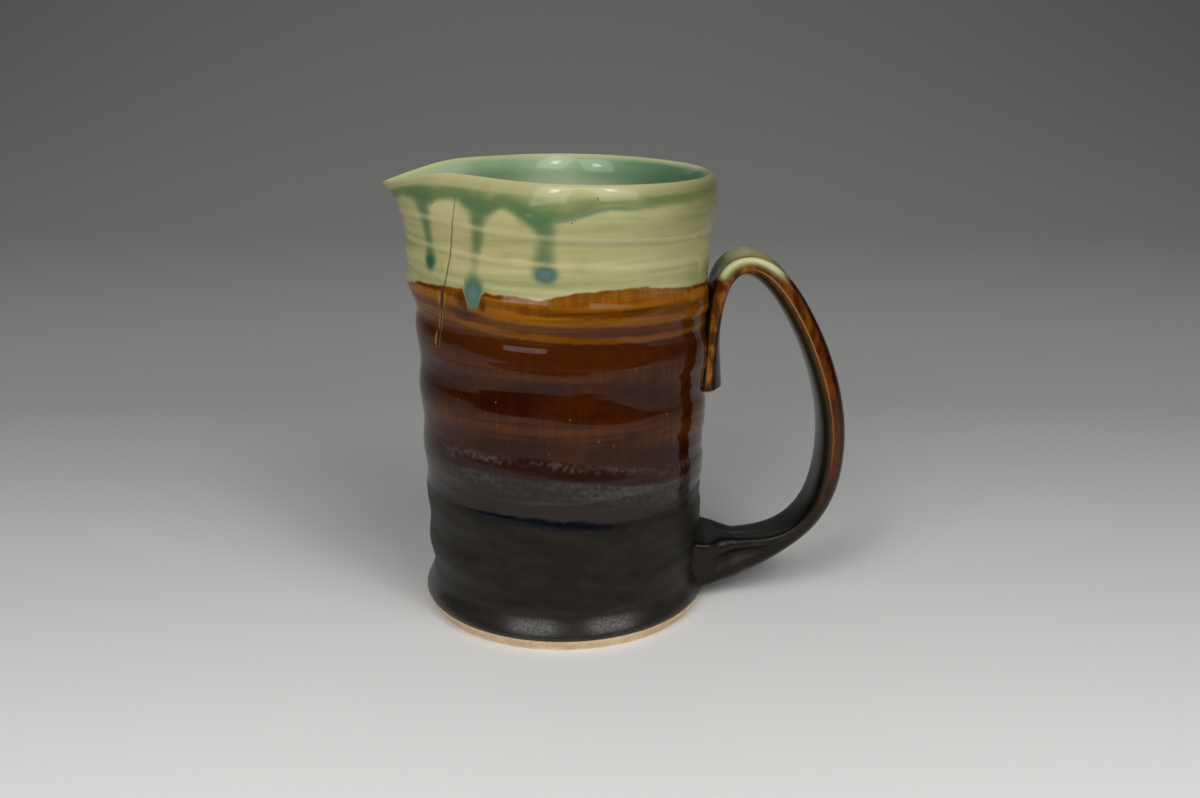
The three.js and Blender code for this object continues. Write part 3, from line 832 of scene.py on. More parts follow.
SATIN_BLACK = srgb(24, 20, 15)
SATIN_BROWN = srgb(35, 29, 21)
# A dark for painted shade in the crack and in gaps by the handle, and for the glaze's dark specks
SHADE_AND_SPECK_DARK = srgb(24, 17, 10)
CRACK_PALE = srgb(168, 134, 84)
CRACK_GREEN = srgb(66, 66, 38)
HANDLE_OLIVE = srgb(58, 44, 15)
CREST_OLIVE = srgb(105, 113, 67)
CREST_TAN = srgb(142, 134, 88)
TAIL_DARK = srgb(11, 9, 6)

# How glossy each finish is, and how high its relief stands
CELADON_IOR = 1.42
DARK_GLAZE_IOR = 1.3
SATIN_IOR = 1.27
FOOT_IOR = 1.6
FOOT_ROUGHNESS = 0.25
CLAY_ROUGHNESS = 0.78
CELADON_ROUGHNESS = 0.1
BROWN_ROUGHNESS = 0.06
SATIN_ROUGHNESS = 0.45
HANDLE_ROUGHNESS = 0.1
CLAY_RELIEF = 0.05
GLAZE_RELIEF = 0.014
SATIN_RELIEF = 0.012

# Noise patterns: scale to the metre, stretch along x, y and z, and detail
NOISE_ROUGHNESS = 0.55
EVEN = (1, 1, 1)
CLAY_CLOUD = (160, EVEN, 4)
CLAY_GRAIN = (2600, EVEN, 2)
CELADON_CLOUD = (70, (1, 1, 1.6), 3)
CELADON_BANDS = (330, (0.07, 0.07, 1), 3)
CELADON_DRIFT = (150, EVEN, 2)
CELADON_DIMPLES = (360, EVEN, 2)
SHORT_STREAKS = (520, (1, 1, 0.3), 3)
BROWN_STREAKS = (620, (1, 1, 0.07), 4)
BROWN_LINES = (620, (0.04, 0.04, 1), 4)
BROWN_CLOUD = (95, (0.7, 0.7, 1.6), 3)
BROWN_FROST = (1100, (0.8, 0.8, 0.8), 3)
BROWN_TURNING = (420, (0.04, 0.04, 1), 4)
DARK_DIMPLES = (420, EVEN, 2)
RAGGED_COARSE = (240, (1, 1, 0.5), 3)
RAGGED_FINE = (1500, EVEN, 2)
SATIN_CLOUD = (120, (1, 1, 3), 4)
SATIN_GRAIN = (2200, EVEN, 2)
HANDLE_CLOUD = (130, EVEN, 3)
PAPER_GRAIN = (900, EVEN, 2)
# Specks: scale to the metre, and size as a share of the spacing
CLAY_SPECKS = (1300, 0.22)
CELADON_SPECKS = (110, 0.032)
BROWN_SPECKS = (420, 0.11)

# Layers of the collar, one over the other: the mark that each follows, how far drift moves it,
# the levels where it begins and is full, its share and its colour
COLLAR_LAYERS = (
    ("wash", 0.5, 0.12, 1, 0.9, CELADON_WASH),
    ("wash_edge", 0.4, 0.2, 0.9, 0.6, CELADON_BLUE),
    ("run", 0.45, 0.05, 0.95, 0.9, CELADON_RUN),
    ("drop", 0.3, 0.1, 0.9, 1, CELADON_POOL),
    ("blue", 0.3, 0.25, 0.95, 1, CELADON_BLUE),
    ("thin", 0.9, 0.2, 0.9, 0.55, CELADON_THIN),
)
# Above the glaze line: where the celadon turns pale, and where it breaks to amber
PALE_REACH = (3, 1)
AMBER_BREAK = (0.25, -0.3)
# Below the amber's top: its brown edge, where streaks give way to lines, and where it turns red-brown
AMBER_EDGE = (0.2, 0.5, 0.7, 1.3)
AMBER_LINED = (1.5, 5)
AMBER_TURN = (3.5, 12.5)
# Partly the glaze's own banding and partly painted: the red-brown bands paint shade, the amber bands sheen
# Bands in the amber: where each begins, is full, fades and ends going down, its share and its colour
AMBER_BANDS = (
    (3.6, 4.6, 5.5, 6.2, 0.38, RED_BROWN),
    (5.7, 6.4, 7.4, 8.4, 0.34, AMBER),
    (8, 8.9, 10, 10.6, 0.45, RED_BROWN),
    (10.3, 11, 11.8, 12.4, 0.28, AMBER),
)
# Above the frost's line: the grey bloom, the frost at its edge, the dark red under that, and the grain below
# The bloom's grey and the grain's paler grey are partly the glaze's own and partly painted sheen
BLOOM_REACH = (3.5, -2)
FROST_REACH = (-1.9, -0.2, 0.2, 1.5)
FROST_GAP = (-4.4, -3)
GRAIN_AND_SHEEN_REACH = (-12, -6, -4.6, -3)
# Above the dark line: how ragged it is, where satin begins, the line in both coats and the grey sheen over it
# The line is a painted dark reflection, and the grey over it is partly painted sheen
RAGGED_SWINGS = (2.2, 1.1)
SATIN_REACH = (0.3, -0.5)
DARK_REFLECTION_ABOVE = (1.1, 0.6)
DARK_REFLECTION_BELOW = (-1.6, -1.1)
SHEEN_REACH = (0.6, 1.1)
# Heights where the red-brown turns chestnut, going up, and where the satin turns glossy, going down
CHESTNUT_RISE = (66, 80)
FOOT_GLOSS = (11, 6)
# Along the strap's spans: where the tongue ends, the celadon crest starts and ends, and the tail turns black
TONGUE_END = (0.95, 1.15)
CREST_REACH = (0.67, 0.75, 1.15, 1.29)
TAIL_TURN = (1.9, 2.4)


def clay_finish(name):
    """Bare buff stoneware with grit"""
    clay = Finish(name)
    cloud = clay.noise(*CLAY_CLOUD)
    colour = clay.mix(cloud.step(0.35, 0.7), CLAY_DEEP, CLAY_PALE)
    colour = clay.mix(0.75 * clay.specks(*CLAY_SPECKS), colour, CLAY_GRIT)
    return clay.surface(colour, CLAY_ROUGHNESS + 0.15 * cloud, clay.noise(*CLAY_GRAIN), CLAY_RELIEF)


def brown_glaze_colour(glaze):
    """Amber under the glaze line, red-brown below, then a grey bloom, partly painted sheen, down to the dark
    line
    """
    below = glaze.mark("below")
    above_frost = glaze.mark("frost")
    streaks = glaze.noise(*BROWN_STREAKS)
    lines = glaze.noise(*BROWN_LINES)
    cloud = glaze.noise(*BROWN_CLOUD)
    fine = glaze.noise(*BROWN_FROST)
    lined = below.step(*AMBER_LINED)
    grain = 0.4 + 0.3 * streaks.step(0.36, 0.68) * (1 - lined) + (0.6 * lines.step(0.36, 0.6) - 0.4) * lined
    amber = glaze.layers(
        AMBER_DARK,
        (grain + cloud.swing(0.2), AMBER),
        (0.4 * cloud.step(0.5, 0.7), AMBER_GOLD),
        (0.7 * below.window(*AMBER_EDGE) * cloud.step(0.42, 0.56), RED_BROWN),
    )
    warm = 0.1 + 0.2 * streaks.step(0.4, 0.62) + 0.45 * lines.step(0.42, 0.6)
    red = glaze.layers(
        RED_DARK,
        (cloud.step(0.36, 0.68), RED_BROWN),
        (0.7 * glaze.height().step(*CHESTNUT_RISE), CHESTNUT),
        (0.08 * streaks.step(0.48, 0.64), BROWN_EDGE),
        (glaze.mark("crest") * warm, BROWN_EDGE),
        (0.4 * lines.step(0.58, 0.72), RED_DARK),
        (0.7 * glaze.specks(*BROWN_SPECKS) * streaks.step(0.5, 0.6), ORANGE_SPECK),
    )
    depth = below + cloud.swing(4) + lines.swing(3) + streaks.swing(1.2)
    colour = glaze.mix(depth.step(*AMBER_TURN), amber, red)
    # Bands along the rings: painted shade in red-brown and painted sheen in amber, over the glaze's own
    # banding
    band = glaze.mark("band") + cloud.swing(1.2) + lines.swing(0.8) + streaks.swing(0.8)
    for *reach, share, tint in AMBER_BANDS:
        colour = glaze.mix(share * band.window(*reach), colour, tint)
    # The grey bloom and the paler grain under the frost: partly the glaze's own bloom, partly painted sheen
    bloom = (above_frost + streaks.swing(1.2) + cloud.swing(4)).step(*BLOOM_REACH)
    ragged = above_frost + streaks.swing(3) + cloud.swing(2)
    patchy = 0.3 + 0.7 * cloud.step(0.42, 0.58)
    frost = fine.step(0.36, 0.7) * patchy * ragged.window(*FROST_REACH)
    grain_and_sheen = fine.step(0.3, 0.7) * cloud.step(0.32, 0.6) * above_frost.window(*GRAIN_AND_SHEEN_REACH)
    grey = glaze.layers(
        GREY_SHEEN,
        (0.3 * lines.step(0.5, 0.7) + 0.6 * grain_and_sheen, GREY_PALE),
        (0.75 * above_frost.step(*FROST_GAP), RED_DARK),
    )
    patched = (0.85 * glaze.mark("patch"), RED_DARK)
    return glaze.layers(colour, patched, (0.9 * bloom, grey), (0.7 * frost, GREY_PALE)), bloom


def above_dark_line(glaze):
    """How far above the dark line a point lies, where that line is ragged"""
    coarse, fine = RAGGED_SWINGS
    ragged = glaze.mark("over") + glaze.noise(*RAGGED_COARSE).swing(coarse)
    return ragged + glaze.noise(*RAGGED_FINE).swing(fine)


def brown_finish():
    """Glossy amber to red-brown glaze with a satin grey bloom, partly painted sheen, at its lower edge"""
    glaze = Finish("amber_brown_glaze")
    colour, bloom = brown_glaze_colour(glaze)
    ragged = above_dark_line(glaze)
    satin = ragged.step(*SATIN_REACH)
    colour = glaze.layers(
        colour,
        (satin, SATIN_BLACK),
        # The dark line: a painted dark reflection
        (glaze.mark("inked") * ragged.step(*DARK_REFLECTION_ABOVE), BLUE_BLACK),
        (glaze.mark("crack_edge"), CRACK_PALE),
        # The crack's dark core is painted shade inside the crack
        (glaze.mark("crack"), SHADE_AND_SPECK_DARK),
    )
    dimples = glaze.noise(*DARK_DIMPLES) + 1.8 * glaze.noise(*BROWN_TURNING)
    roughness = BROWN_ROUGHNESS + 0.07 * bloom + 0.25 * satin
    return glaze.surface(colour, roughness, dimples, GLAZE_RELIEF, IOR=DARK_GLAZE_IOR)


def celadon_finish():
    """Glossy celadon, greener where it ran and pooled, that breaks to amber along its lower edge"""
    glaze = Finish("celadon_glaze")
    line = glaze.mark("line")
    cloud = glaze.noise(*CELADON_CLOUD)
    bands = glaze.noise(*CELADON_BANDS)
    drift = glaze.noise(*CELADON_DRIFT) - 0.5
    wash_halo = 0.3 * (glaze.mark("wash") + 0.6 * drift).step(-0.05, 0.45)
    run_halo = 0.25 * (glaze.mark("run") + 0.5 * drift).step(0, 0.4)
    colour = glaze.layers(
        CELADON,
        (glaze.mark("tan") * (0.5 + 0.5 * cloud.step(0.3, 0.6)), CELADON_TAN),
        (0.75 * bands.step(0.45, 0.68), CELADON_PALE),
        (0.6 * bands.step(0.45, 0.3), CELADON_OLIVE),
        (0.35 * line.step(*PALE_REACH) * cloud.step(0.4, 0.55), CELADON_PALE),
        (0.22 * glaze.mark("groove") * cloud.step(0.35, 0.6), CELADON_WASH),
        (0.7 * glaze.mark("ridge"), CELADON_PALE),
        (wash_halo + run_halo, CELADON_WASH),
    )
    for mark, waver, low, high, share, tint in COLLAR_LAYERS:
        colour = glaze.mix(share * (glaze.mark(mark) + waver * drift).step(low, high), colour, tint)
    inside = glaze.layers(
        INSIDE_GREEN,
        (0.7 * cloud.step(0.3, 0.74), INSIDE_PALE),
        # Deeper green partly painted shade, pale haze partly painted light
        (glaze.mark("deep"), INSIDE_DEEP),
        (0.85 * glaze.mark("haze"), INSIDE_HAZE),
    )
    amber, _ = brown_glaze_colour(glaze)
    ragged = line + glaze.noise(*SHORT_STREAKS).swing(0.5)
    colour = glaze.layers(
        colour,
        (glaze.mark("inside"), inside),
        (0.7 * glaze.mark("lip"), CELADON_THIN),
        # Painted shade on the collar's handle side
        (0.75 * glaze.mark("olive"), OLIVE_SHADE),
        (0.9 * glaze.specks(*CELADON_SPECKS) * cloud.step(0.45, 0.5), SHADE_AND_SPECK_DARK),
        (ragged.step(*AMBER_BREAK), amber),
        # The crack's darker core is painted shade inside the crack
        (0.9 * glaze.mark("crack"), CRACK_GREEN),
    )
    dimples = glaze.noise(*CELADON_DIMPLES) + 0.6 * bands
    return glaze.surface(colour, CELADON_ROUGHNESS, dimples, GLAZE_RELIEF, IOR=CELADON_IOR)


def black_finish():
    """Satin brown-black glaze under a dark glossy line of painted reflection, with a glossier band above the
    bare foot
    """
    glaze = Finish("satin_black_glaze")
    ragged = above_dark_line(glaze)
    cloud = glaze.noise(*SATIN_CLOUD)
    grain = glaze.noise(*SATIN_GRAIN)
    # The dark line: a painted dark reflection
    line = glaze.mark("inked") * ragged.step(*DARK_REFLECTION_BELOW)
    colour = glaze.layers(
        SATIN_BLACK,
        (cloud.step(0.4, 0.66), SATIN_BROWN),
        (line, BLUE_BLACK),
        # Grey over the dark line: partly painted sheen
        (ragged.step(*SHEEN_REACH), GREY_SHEEN),
    )
    gloss = glaze.height().step(*FOOT_GLOSS) * (0.35 + 0.65 * grain.step(0.35, 0.65))
    coat = {"Coat Weight": gloss, "Coat Roughness": FOOT_ROUGHNESS, "Coat IOR": FOOT_IOR}
    roughness = SATIN_ROUGHNESS - 0.3 * line + cloud.swing(0.1)
    return glaze.surface(colour, roughness, grain, SATIN_RELIEF, IOR=SATIN_IOR, **coat)


def handle_finish():
    """The handle's glazes along its length: amber tongue, celadon crest, brown arm and black tail"""
    glaze = Finish("handle_glazes")
    along = glaze.mark("along")
    around = glaze.mark("round")
    streaks = glaze.noise(*SHORT_STREAKS)
    cloud = glaze.noise(*HANDLE_CLOUD)
    down = along + cloud.swing(0.3)
    past_outer = around - OUTER_CORNER
    past_inner = around - INNER_CORNER
    ridge = past_inner.window(-0.28, -0.05, 0, 0.18)
    inner = past_inner.step(-0.1, 0.9)
    outer = past_outer.step(0.7, -0.3)
    amber = glaze.mix(streaks.step(0.4, 0.62), AMBER_DARK, AMBER)
    flank = glaze.layers(
        RED_BROWN,
        (streaks.step(0.36, 0.66), BROWN_EDGE),
        (0.18 * down.step(2, 1.2), amber),
        (outer * (0.88 + 0.12 * streaks.step(0.6, 0.42)), RED_DARK),
    )
    brown = glaze.layers(
        flank,
        # The arm's inner face, turned to the pot inside the loop: darker, painted shade over the thin glaze
        (inner, glaze.mix(down.step(2.2, 1.2), SATIN_BROWN, HANDLE_OLIVE)),
        (0.8 * ridge * down.step(2.4, 1.4), AMBER_GOLD),
    )
    tongue = glaze.layers(
        amber,
        (cloud.step(0.42, 0.6), RED_BROWN),
        # The tongue's inner face, inside the loop: dark grey, painted shade
        (inner * down.step(0.75, 0.2), GREY_SHEEN),
        # A painted shadow in the gap between the tongue and the wall
        ((past_outer + 0.6 * along.step(0.2, 0.6)).step(1.1, 0.5), SHADE_AND_SPECK_DARK),
    )
    black = glaze.layers(
        SATIN_BLACK,
        (cloud.step(0.4, 0.66), SATIN_BROWN),
        (0.25 * ridge * streaks.step(0.4, 0.6), BROWN_EDGE),
        # The tail's inner face, inside the loop: near black, painted shade
        (0.95 * inner, TAIL_DARK),
    )
    # A painted highlight along the crest's outer corner
    rim = past_outer.window(-0.8, -0.1, 0.2, 1.6)
    celadon = glaze.layers(CREST_OLIVE, (cloud.step(0.4, 0.66), CREST_TAN), (0.9 * rim, CELADON_PALE))
    ragged = along + streaks.swing(0.05)
    crest = ragged.window(*CREST_REACH) * (past_inner + cloud.swing(0.8)).step(-0.1, -1.7)
    tail = down.step(*TAIL_TURN)
    hidden = past_outer.step(-0.4, -1.2) * along.step(0.82, 0.62)
    colour = glaze.layers(
        tongue,
        (along.step(*TONGUE_END), brown),
        (tail, black),
        (crest, celadon),
        # Painted shade where the crest turns down to the wall
        (0.5 * hidden, SHADE_AND_SPECK_DARK),
    )
    dimples = glaze.noise(*DARK_DIMPLES)
    return glaze.surface(colour, HANDLE_ROUGHNESS + 0.24 * tail, dimples, SATIN_RELIEF, IOR=DARK_GLAZE_IOR)


# Pieces

def make_pot():
    """The thrown clay under the glazes, which shows at the foot"""
    outer = outer_profile(0, LIP_TOP - LIP_OUTER[1], 0)
    profile = [(0, 0), (BASE_RING_RADIUS, 0), *outer, *lip_profile(0)[1:], *inner_profile(0)]
    pot = throw("thrown_pot", profile, CLAY_COLUMNS)
    shape_by_hand(pot)
    finish_piece(pot, clay_finish("buff_stoneware"), ["thrown_body"])


def note_amber(coat, angle, height):
    """Keeps where each point lies from the amber's top, patches and bands, and from the frost below"""
    note(coat, below=amber_top(angle) - height, frost=height - straight(angle, FROST_LINE))
    note(coat, patch=patch_share(angle, height), band=band_depth(angle, height))


def note_dark_line(coat, angle, height):
    """Keeps how far each point lies above the dark line, and how dark its painted reflection is there"""
    note(coat, over=height - straight(angle, DARK_LINE), inked=straight(angle, DARK_SHARES))


def make_celadon():
    """Celadon over the inside and the collar, in one coat over the rim"""
    collar = outer_profile(COATS_MEET, LIP_TOP - LIP_OUTER[1], GLAZE_FACE)
    coat = throw("celadon_coat", [*collar, *lip_profile(GLAZE_FACE)[1:], *inner_profile(GLAZE_FACE)], COLUMNS)
    angle, height, outer = shape_by_hand(coat)
    run, drop, blue = run_shares(angle, height)
    wash, wash_edge = wash_share(angle, height)
    ridge, groove = throwing_lines(angle, height)
    crack = bell(crack_distance(angle, height), straight(height, CRACK_WIDTHS)) * crack_span(height)
    tan = bell_round(angle, *TAN) * smooth(height, *TAN_RISE)
    shade = SHADE_LEAST + (1 - SHADE_LEAST) * smooth(height, *SHADE_RISE)
    outer_marks = {
        "run": run * (1 - RUN_THINNING * ridge), "drop": drop, "blue": blue, "ridge": ridge, "groove": groove,
        "wash": wash, "wash_edge": wash_edge, "thin": smooth(height, *THIN_RISE), "crack": crack, "tan": tan,
        "olive": bell_round(angle, *SHADE) * shade,
    }
    note(coat, **{name: level * outer for name, level in outer_marks.items()})
    across = points_of(coat)[:, 0]
    deep = smooth(across, *DEEP_ACROSS) * smooth(height, *DEEP_RISE)
    haze = smooth(across, *HAZE_ACROSS) * bell(height - HAZE_HEIGHT, HAZE_SPREAD)
    line = np.where(outer > 0, height - glaze_line(angle), RIM_HEIGHT)
    note(coat, deep=deep * (1 - outer), haze=haze * (1 - outer), inside=smooth(outer, *INSIDE_EDGE))
    note(coat, line=line, lip=smooth(height - LIP_TOP, *LIP_RISE), crest=np.zeros_like(height))
    note_amber(coat, angle, height)
    thicken(coat)
    finish_piece(coat, celadon_finish(), ["liner_glaze", "collar_glaze"])


def make_brown():
    """Amber to red-brown glaze on the middle of the wall"""
    coat = throw("brown_coat", outer_profile(BLACK_LINE, COATS_MEET, GLAZE_FACE), COLUMNS)
    angle, height, _ = shape_by_hand(coat)
    crest = np.abs(np.cos(math.pi * (ring_turn(angle, height) + CREST_SHIFT))) ** CREST_SHARPNESS
    apart = np.abs(crack_distance(angle, height))
    half = straight(height, CRACK_WIDTHS)
    opened = smooth(height, CRACK_END, CRACK_END + CRACK_FADE)
    place, spread, share = CRACK_EDGE
    edge = share * bell(apart - place * half, spread * half) * opened
    note(coat, crest=crest, crack=bell(apart, half) * opened, crack_edge=edge)
    note_amber(coat, angle, height)
    note_dark_line(coat, angle, height)
    thicken(coat)
    finish_piece(coat, brown_finish(), ["brown_glaze"])


def make_black():
    """Satin black glaze on the lower wall, rounded off above the bare foot"""
    (radius, foot), *wall = outer_profile(BARE_FOOT, BLACK_LINE, GLAZE_FACE)
    coat = throw("black_coat", [(radius - FOOT_ROLL, foot), *wall], COLUMNS)
    angle, height, _ = shape_by_hand(coat)
    note_dark_line(coat, angle, height)
    thicken(coat)
    finish_piece(coat, black_finish(), ["black_glaze"])


def bezier(guides, share):
    """Points and directions of a curve with four guides, at shares from 0 to 1 along it"""
    first, second, third, last = (np.array(guide, float) for guide in guides)
    t = share[:, None]
    rest = 1 - t
    place = rest ** 3 * first + 3 * rest ** 2 * t * second + 3 * rest * t ** 2 * third + t ** 3 * last
    along = 3 * rest ** 2 * (second - first) + 6 * rest * t * (third - second) + 3 * t ** 2 * (last - third)
    return place, along / np.linalg.norm(along, axis=1)[:, None]


def through(places, levels, at):
    """A smooth curve through rows of levels at rising places"""
    slopes = np.gradient(levels, places, axis=0)
    span = np.clip(np.searchsorted(places, at, side="right") - 1, 0, len(places) - 2)
    width = (places[span + 1] - places[span])[:, None]
    share = (at - places[span])[:, None] / width
    rise = share ** 2 * (3 - 2 * share)
    leaving = share * (1 - share) ** 2 * width * slopes[span]
    arriving = share ** 2 * (share - 1) * width * slopes[span + 1]
    return levels[span] + rise * (levels[span + 1] - levels[span]) + leaving + arriving


def section_points(guides, place):
    """Points of half sections, and the directions that face out of them, at places counted in guides"""
    flip = np.array((-1, 1))
    guides = np.concatenate([guides[:, 1:2] * flip, guides, guides[:, -2:-1] * flip], axis=1)
    span = np.clip(place.astype(int), 0, guides.shape[1] - 4)
    rows = np.arange(len(place))
    before, first, second, after = (guides[rows, span + step] for step in range(4))
    part = (place - span)[:, None]
    pull = (second - before) / 2
    bend = before - 2.5 * first + 2 * second - after / 2
    twist = (3 * (first - second) + after - before) / 2
    point = first + part * (pull + part * (bend + part * twist))
    slope = pull + part * (2 * bend + 3 * part * twist)
    facing = np.stack([-slope[:, 1], slope[:, 0]], axis=1) / np.linalg.norm(slope, axis=1)[:, None]
    return point, facing


def section_place(turn):
    """Where a turn round the strap lies on its half section, counted in guides"""
    return (1 - np.abs(1 - turn / math.pi)) * (len(STRAP_SECTIONS[0][2]) - 1)


def strap_points(along, turn, off, share):
    """Points of the strap's skin; turn 0 is the middle of its outer face, pi the middle of its inner face"""
    span = np.clip(along.astype(int), 0, len(STRAP_SPANS) - 1)
    centre = np.zeros((len(along), 2))
    heading = np.zeros((len(along), 2))
    for index, guides in enumerate(STRAP_SPANS):
        here = span == index
        centre[here], heading[here] = bezier(guides, along[here] - index)
    centre -= heading * (TONGUE_DOME * (along < 1) * (1 - share ** 2))[:, None]
    stations = np.array([place for place, _, _ in STRAP_SECTIONS])
    rows = np.array([[lean, *np.ravel(half)] for _, lean, half in STRAP_SECTIONS], float)
    rows = through(stations, rows, along)
    point, facing = section_points(rows[:, 1:].reshape(len(along), -1, 2), section_place(turn))
    side = np.where(turn <= math.pi, 1, -1)
    across = share * side * (point[:, 0] + off * facing[:, 0])
    out = share * (point[:, 1] + off * facing[:, 1]) + rows[:, 0] * across / STRAP_LEAN_WIDTH
    far = centre[:, 0] - heading[:, 1] * out
    high = centre[:, 1] + heading[:, 0] * out
    angle = np.degrees(np.arctan2(across, far))
    seat = wall_radius(angle, high) - GLAZE_FACE + off - PAD_SINK
    reach = np.hypot(far, across)
    run = PAD_RUNS[0] + (PAD_RUNS[1] - PAD_RUNS[0]) * smooth(along, *PAD_START)
    sunk = 1 - smooth(along, *PAD_END)
    lifted = seat + run * np.logaddexp(0, (reach - seat) / run) * sunk
    return np.stack([far * (lifted / reach), across * (lifted / reach), high], axis=1)


def make_strap(name, low, high, off, close_low, close_high):
    """Rolls a flat grid into a stretch of the strap and closes the ends that show"""
    rows = list(rows_between(low, high, STRAP_ROW))
    shares = [1.0] * len(rows)
    if close_low:
        rows = [low] * len(TONGUE_RINGS) + rows
        shares = [*TONGUE_RINGS, *shares]
    if close_high:
        rows = rows + [high] * len(TAIL_RINGS)
        shares = [*shares, *TAIL_RINGS]
    deselect_all()
    bpy.ops.mesh.primitive_grid_add(x_subdivisions=STRAP_COLUMNS, y_subdivisions=len(rows) - 1, size=1)
    strap = new_piece(name)
    across, down, _ = (points_of(strap) * MM).T
    row = np.rint((down + 0.5) * (len(rows) - 1)).astype(int)
    along = np.array(rows)[row]
    turn = (across + 0.5) * math.tau
    move_points(strap, strap_points(along, turn, off, np.array(shares)[row]))
    note(strap, along=along, round=section_place(turn))
    mend()
    return strap


def make_handle():
    """The pulled clay strap and the glazes along it"""
    clay = make_strap("pulled_strap", STRAP_BREAKS[0], STRAP_BREAKS[-1], 0, True, True)
    finish_piece(clay, clay_finish("strap_stoneware"), ["handle_strap"])
    glazes = handle_finish()
    slots = {"tongue": "brown_glaze", "crest": "celadon_glaze", "arm": "brown_glaze", "tail": "black_glaze"}
    for (stretch, slot), low, high in zip(slots.items(), STRAP_BREAKS, STRAP_BREAKS[1:]):
        coat = make_strap(f"{stretch}_coat", low, high, GLAZE_FACE, stretch == "tongue", False)
        thicken(coat)
        finish_piece(coat, glazes, [f"handle_{stretch}_glaze"])


def dress_slip():
    """The slip under the handle's ends, which the glaze hides"""
    slip = clay_finish("joining_slip")
    for name in ("upper_slip_joint", "lower_slip_joint"):
        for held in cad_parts[name].material_slots:
            held.material = slip


# Studio, in metres

# The paper's colour darkens from front to back, a painted light falloff: how far back, and the colour there
PAPER_FALLOFF = (
    (-0.1, srgb(235, 235, 233)), (-0.01, srgb(211, 211, 209)), (0.09, srgb(184, 184, 182)),
    (0.18, srgb(164, 164, 162)), (0.8, srgb(153, 153, 151)), (1.6, srgb(120, 120, 119)),
)
PAPER_REACH = (-0.2, 1.8)
PAPER_CURL = 0.3
PAPER_ROUGHNESS = 0.85
# Where the paper ends in front of the jug, and the colour past that, painted shade of the unlit room
PAPER_FRONT = (-0.205, -0.212)
SURROUND = srgb(42, 42, 43)
# The floor, which bends up into a backdrop
SWEEP_WIDTH = 5
SWEEP_FRONT = -3
SWEEP_BACK = 1.5
SWEEP_HEIGHT = 2.2
SWEEP_BEND = 0.9
SWEEP_STEPS = 24
# Two soft boxes, each with a brighter core, to the left and right of the camera, and a fill light behind
SOFTBOX_AZIMUTHS = (-25, 39)
SOFTBOX_AIM = (0, 0, 0.46)
SOFTBOX_DISTANCE = 0.74
SOFTBOX_HEIGHT = 0.84
SOFTBOX_SIZE = (0.6, 1.3)
SOFTBOX_POWER = 6.5
CORE_PLACE = 0.99
CORE_SIZE = (0.14, 0.3)
CORE_POWER = 1.2
FILL_PLACE = (-0.3, 1.1, 1)
FILL_AIM = (0, 0, 0.06)
FILL_SIZE = (1.4, 0.9)
FILL_POWER = 1.2
WORLD_LEVEL = 0.03


def floor_finish():
    """Pale paper, darkening from front to back as painted light falloff, that ends a little way in front of
    the jug
    """
    paper = Finish("studio_paper")
    aside, towards = (paper.node("SeparateXYZ", sockets={0: paper.place()}, output=axis) for axis in (0, 1))
    start, end = PAPER_REACH
    back = (towards + PAPER_CURL * aside * aside - start) / (end - start)
    colour = paper.ramp(back, [((place - start) / (end - start), shade) for place, shade in PAPER_FALLOFF])
    # Past the paper's edge, painted shade of the unlit room
    colour = paper.mix(towards.step(*PAPER_FRONT), colour, SURROUND)
    return paper.surface(colour, PAPER_ROUGHNESS + 0.1 * paper.noise(*PAPER_GRAIN))


def select_edges(floor, chosen):
    """Selects the edges whose ends are both chosen, in edit mode"""
    bpy.ops.object.mode_set(mode="EDIT")
    bpy.ops.mesh.select_all(action="DESELECT")
    bpy.ops.object.mode_set(mode="OBJECT")
    for edge in floor.data.edges:
        edge.select = all(chosen(floor.data.vertices[end].co) for end in edge.vertices)
    bpy.ops.object.mode_set(mode="EDIT")
    bpy.ops.mesh.select_mode(type="EDGE")


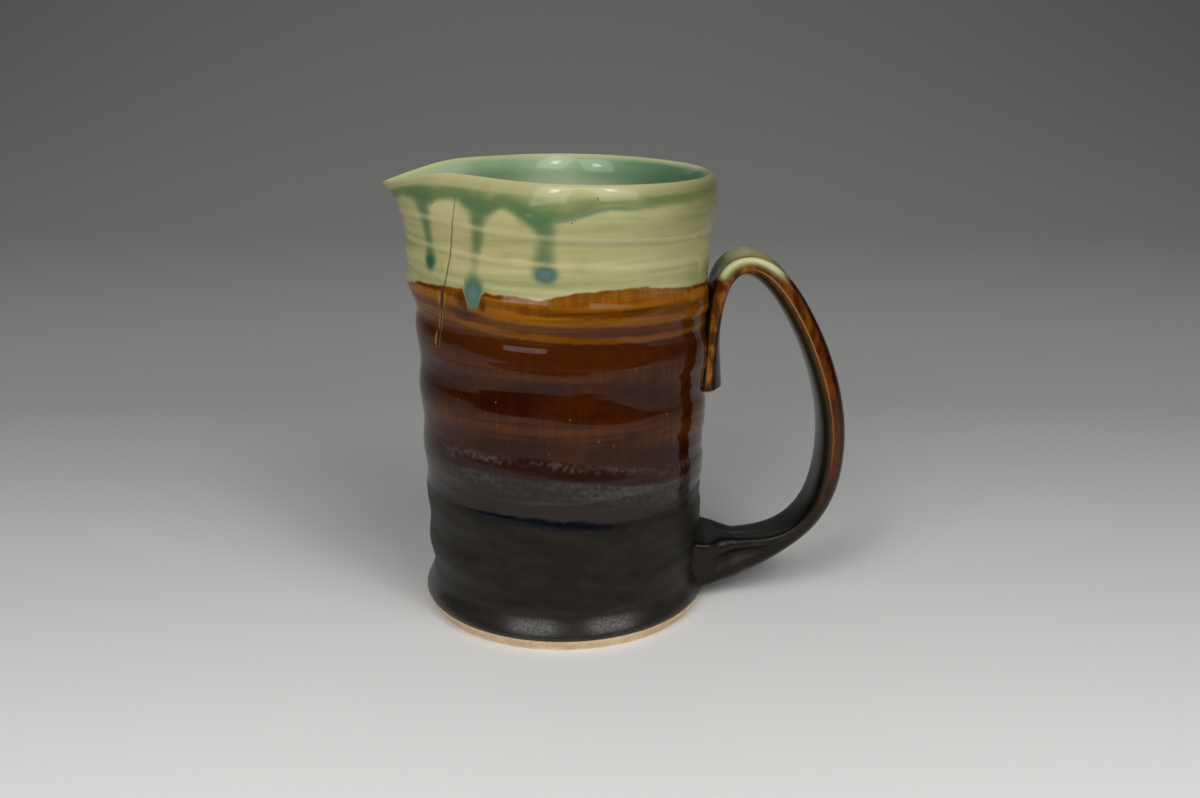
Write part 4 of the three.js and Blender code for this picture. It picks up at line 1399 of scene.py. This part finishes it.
def make_floor():
    """A floor that bends up into a backdrop"""
    deselect_all()
    bpy.ops.mesh.primitive_plane_add(size=1)
    floor = new_piece("studio_floor")
    points = points_of(floor) * MM
    points[:, 0] *= SWEEP_WIDTH
    points[:, 1] = np.where(points[:, 1] > 0, SWEEP_BACK, SWEEP_FRONT)
    move_points(floor, points / MM)
    select_edges(floor, lambda end: end.y > 0)
    bpy.ops.mesh.extrude_region_move(TRANSFORM_OT_translate={"value": (0, 0, SWEEP_HEIGHT)})
    select_edges(floor, lambda end: end.y > 0 and end.z < MM)
    bpy.ops.mesh.bevel(offset=SWEEP_BEND, segments=SWEEP_STEPS)
    bpy.ops.mesh.select_mode(type="VERT")
    bpy.ops.object.mode_set(mode="OBJECT")
    bpy.ops.object.shade_smooth()
    floor.data.materials.append(floor_finish())


def hang_light(name, place, aim, size, power):
    """A soft rectangular light that faces the jug"""
    facing = (Vector(aim) - place).to_track_quat("-Z", "Y").to_euler()
    bpy.ops.object.light_add(type="AREA", location=place, rotation=facing)
    light = bpy.context.object
    light.name = name
    light.data.shape = "RECTANGLE"
    light.data.size, light.data.size_y = size
    light.data.energy = power
    light.visible_camera = False


def make_lights():
    for azimuth in SOFTBOX_AZIMUTHS:
        turn = math.radians(azimuth)
        place = Vector((math.sin(turn), -math.cos(turn), 0)) * SOFTBOX_DISTANCE
        place.z = SOFTBOX_HEIGHT
        hang_light("softbox", place, SOFTBOX_AIM, SOFTBOX_SIZE, SOFTBOX_POWER)
        hang_light("softbox_core", place * CORE_PLACE, SOFTBOX_AIM, CORE_SIZE, CORE_POWER)
    hang_light("fill", Vector(FILL_PLACE), FILL_AIM, FILL_SIZE, FILL_POWER)


def make_world():
    world = bpy.data.worlds.new("dark_room")
    bpy.context.scene.world = world
    world.use_nodes = True
    backdrop = world.node_tree.nodes["Background"]
    backdrop.inputs["Color"].default_value = (WORLD_LEVEL, WORLD_LEVEL, WORLD_LEVEL, 1)


def make_camera():
    place = [length * MM for length in CAMERA_PLACE]
    tilt = math.radians(90 - CAMERA_PITCH)
    bpy.ops.object.camera_add(location=place, rotation=(tilt, 0, 0))
    camera = bpy.context.object
    camera.data.lens = CAMERA_LENS
    camera.data.sensor_width = CAMERA_SENSOR
    camera.data.clip_start = CAMERA_NEAR * MM
    bpy.context.scene.camera = camera


bpy.context.scene.view_settings.view_transform = "Standard"
make_camera()
make_world()
make_floor()
make_lights()
make_pot()
make_celadon()
make_brown()
make_black()
make_handle()
dress_slip()
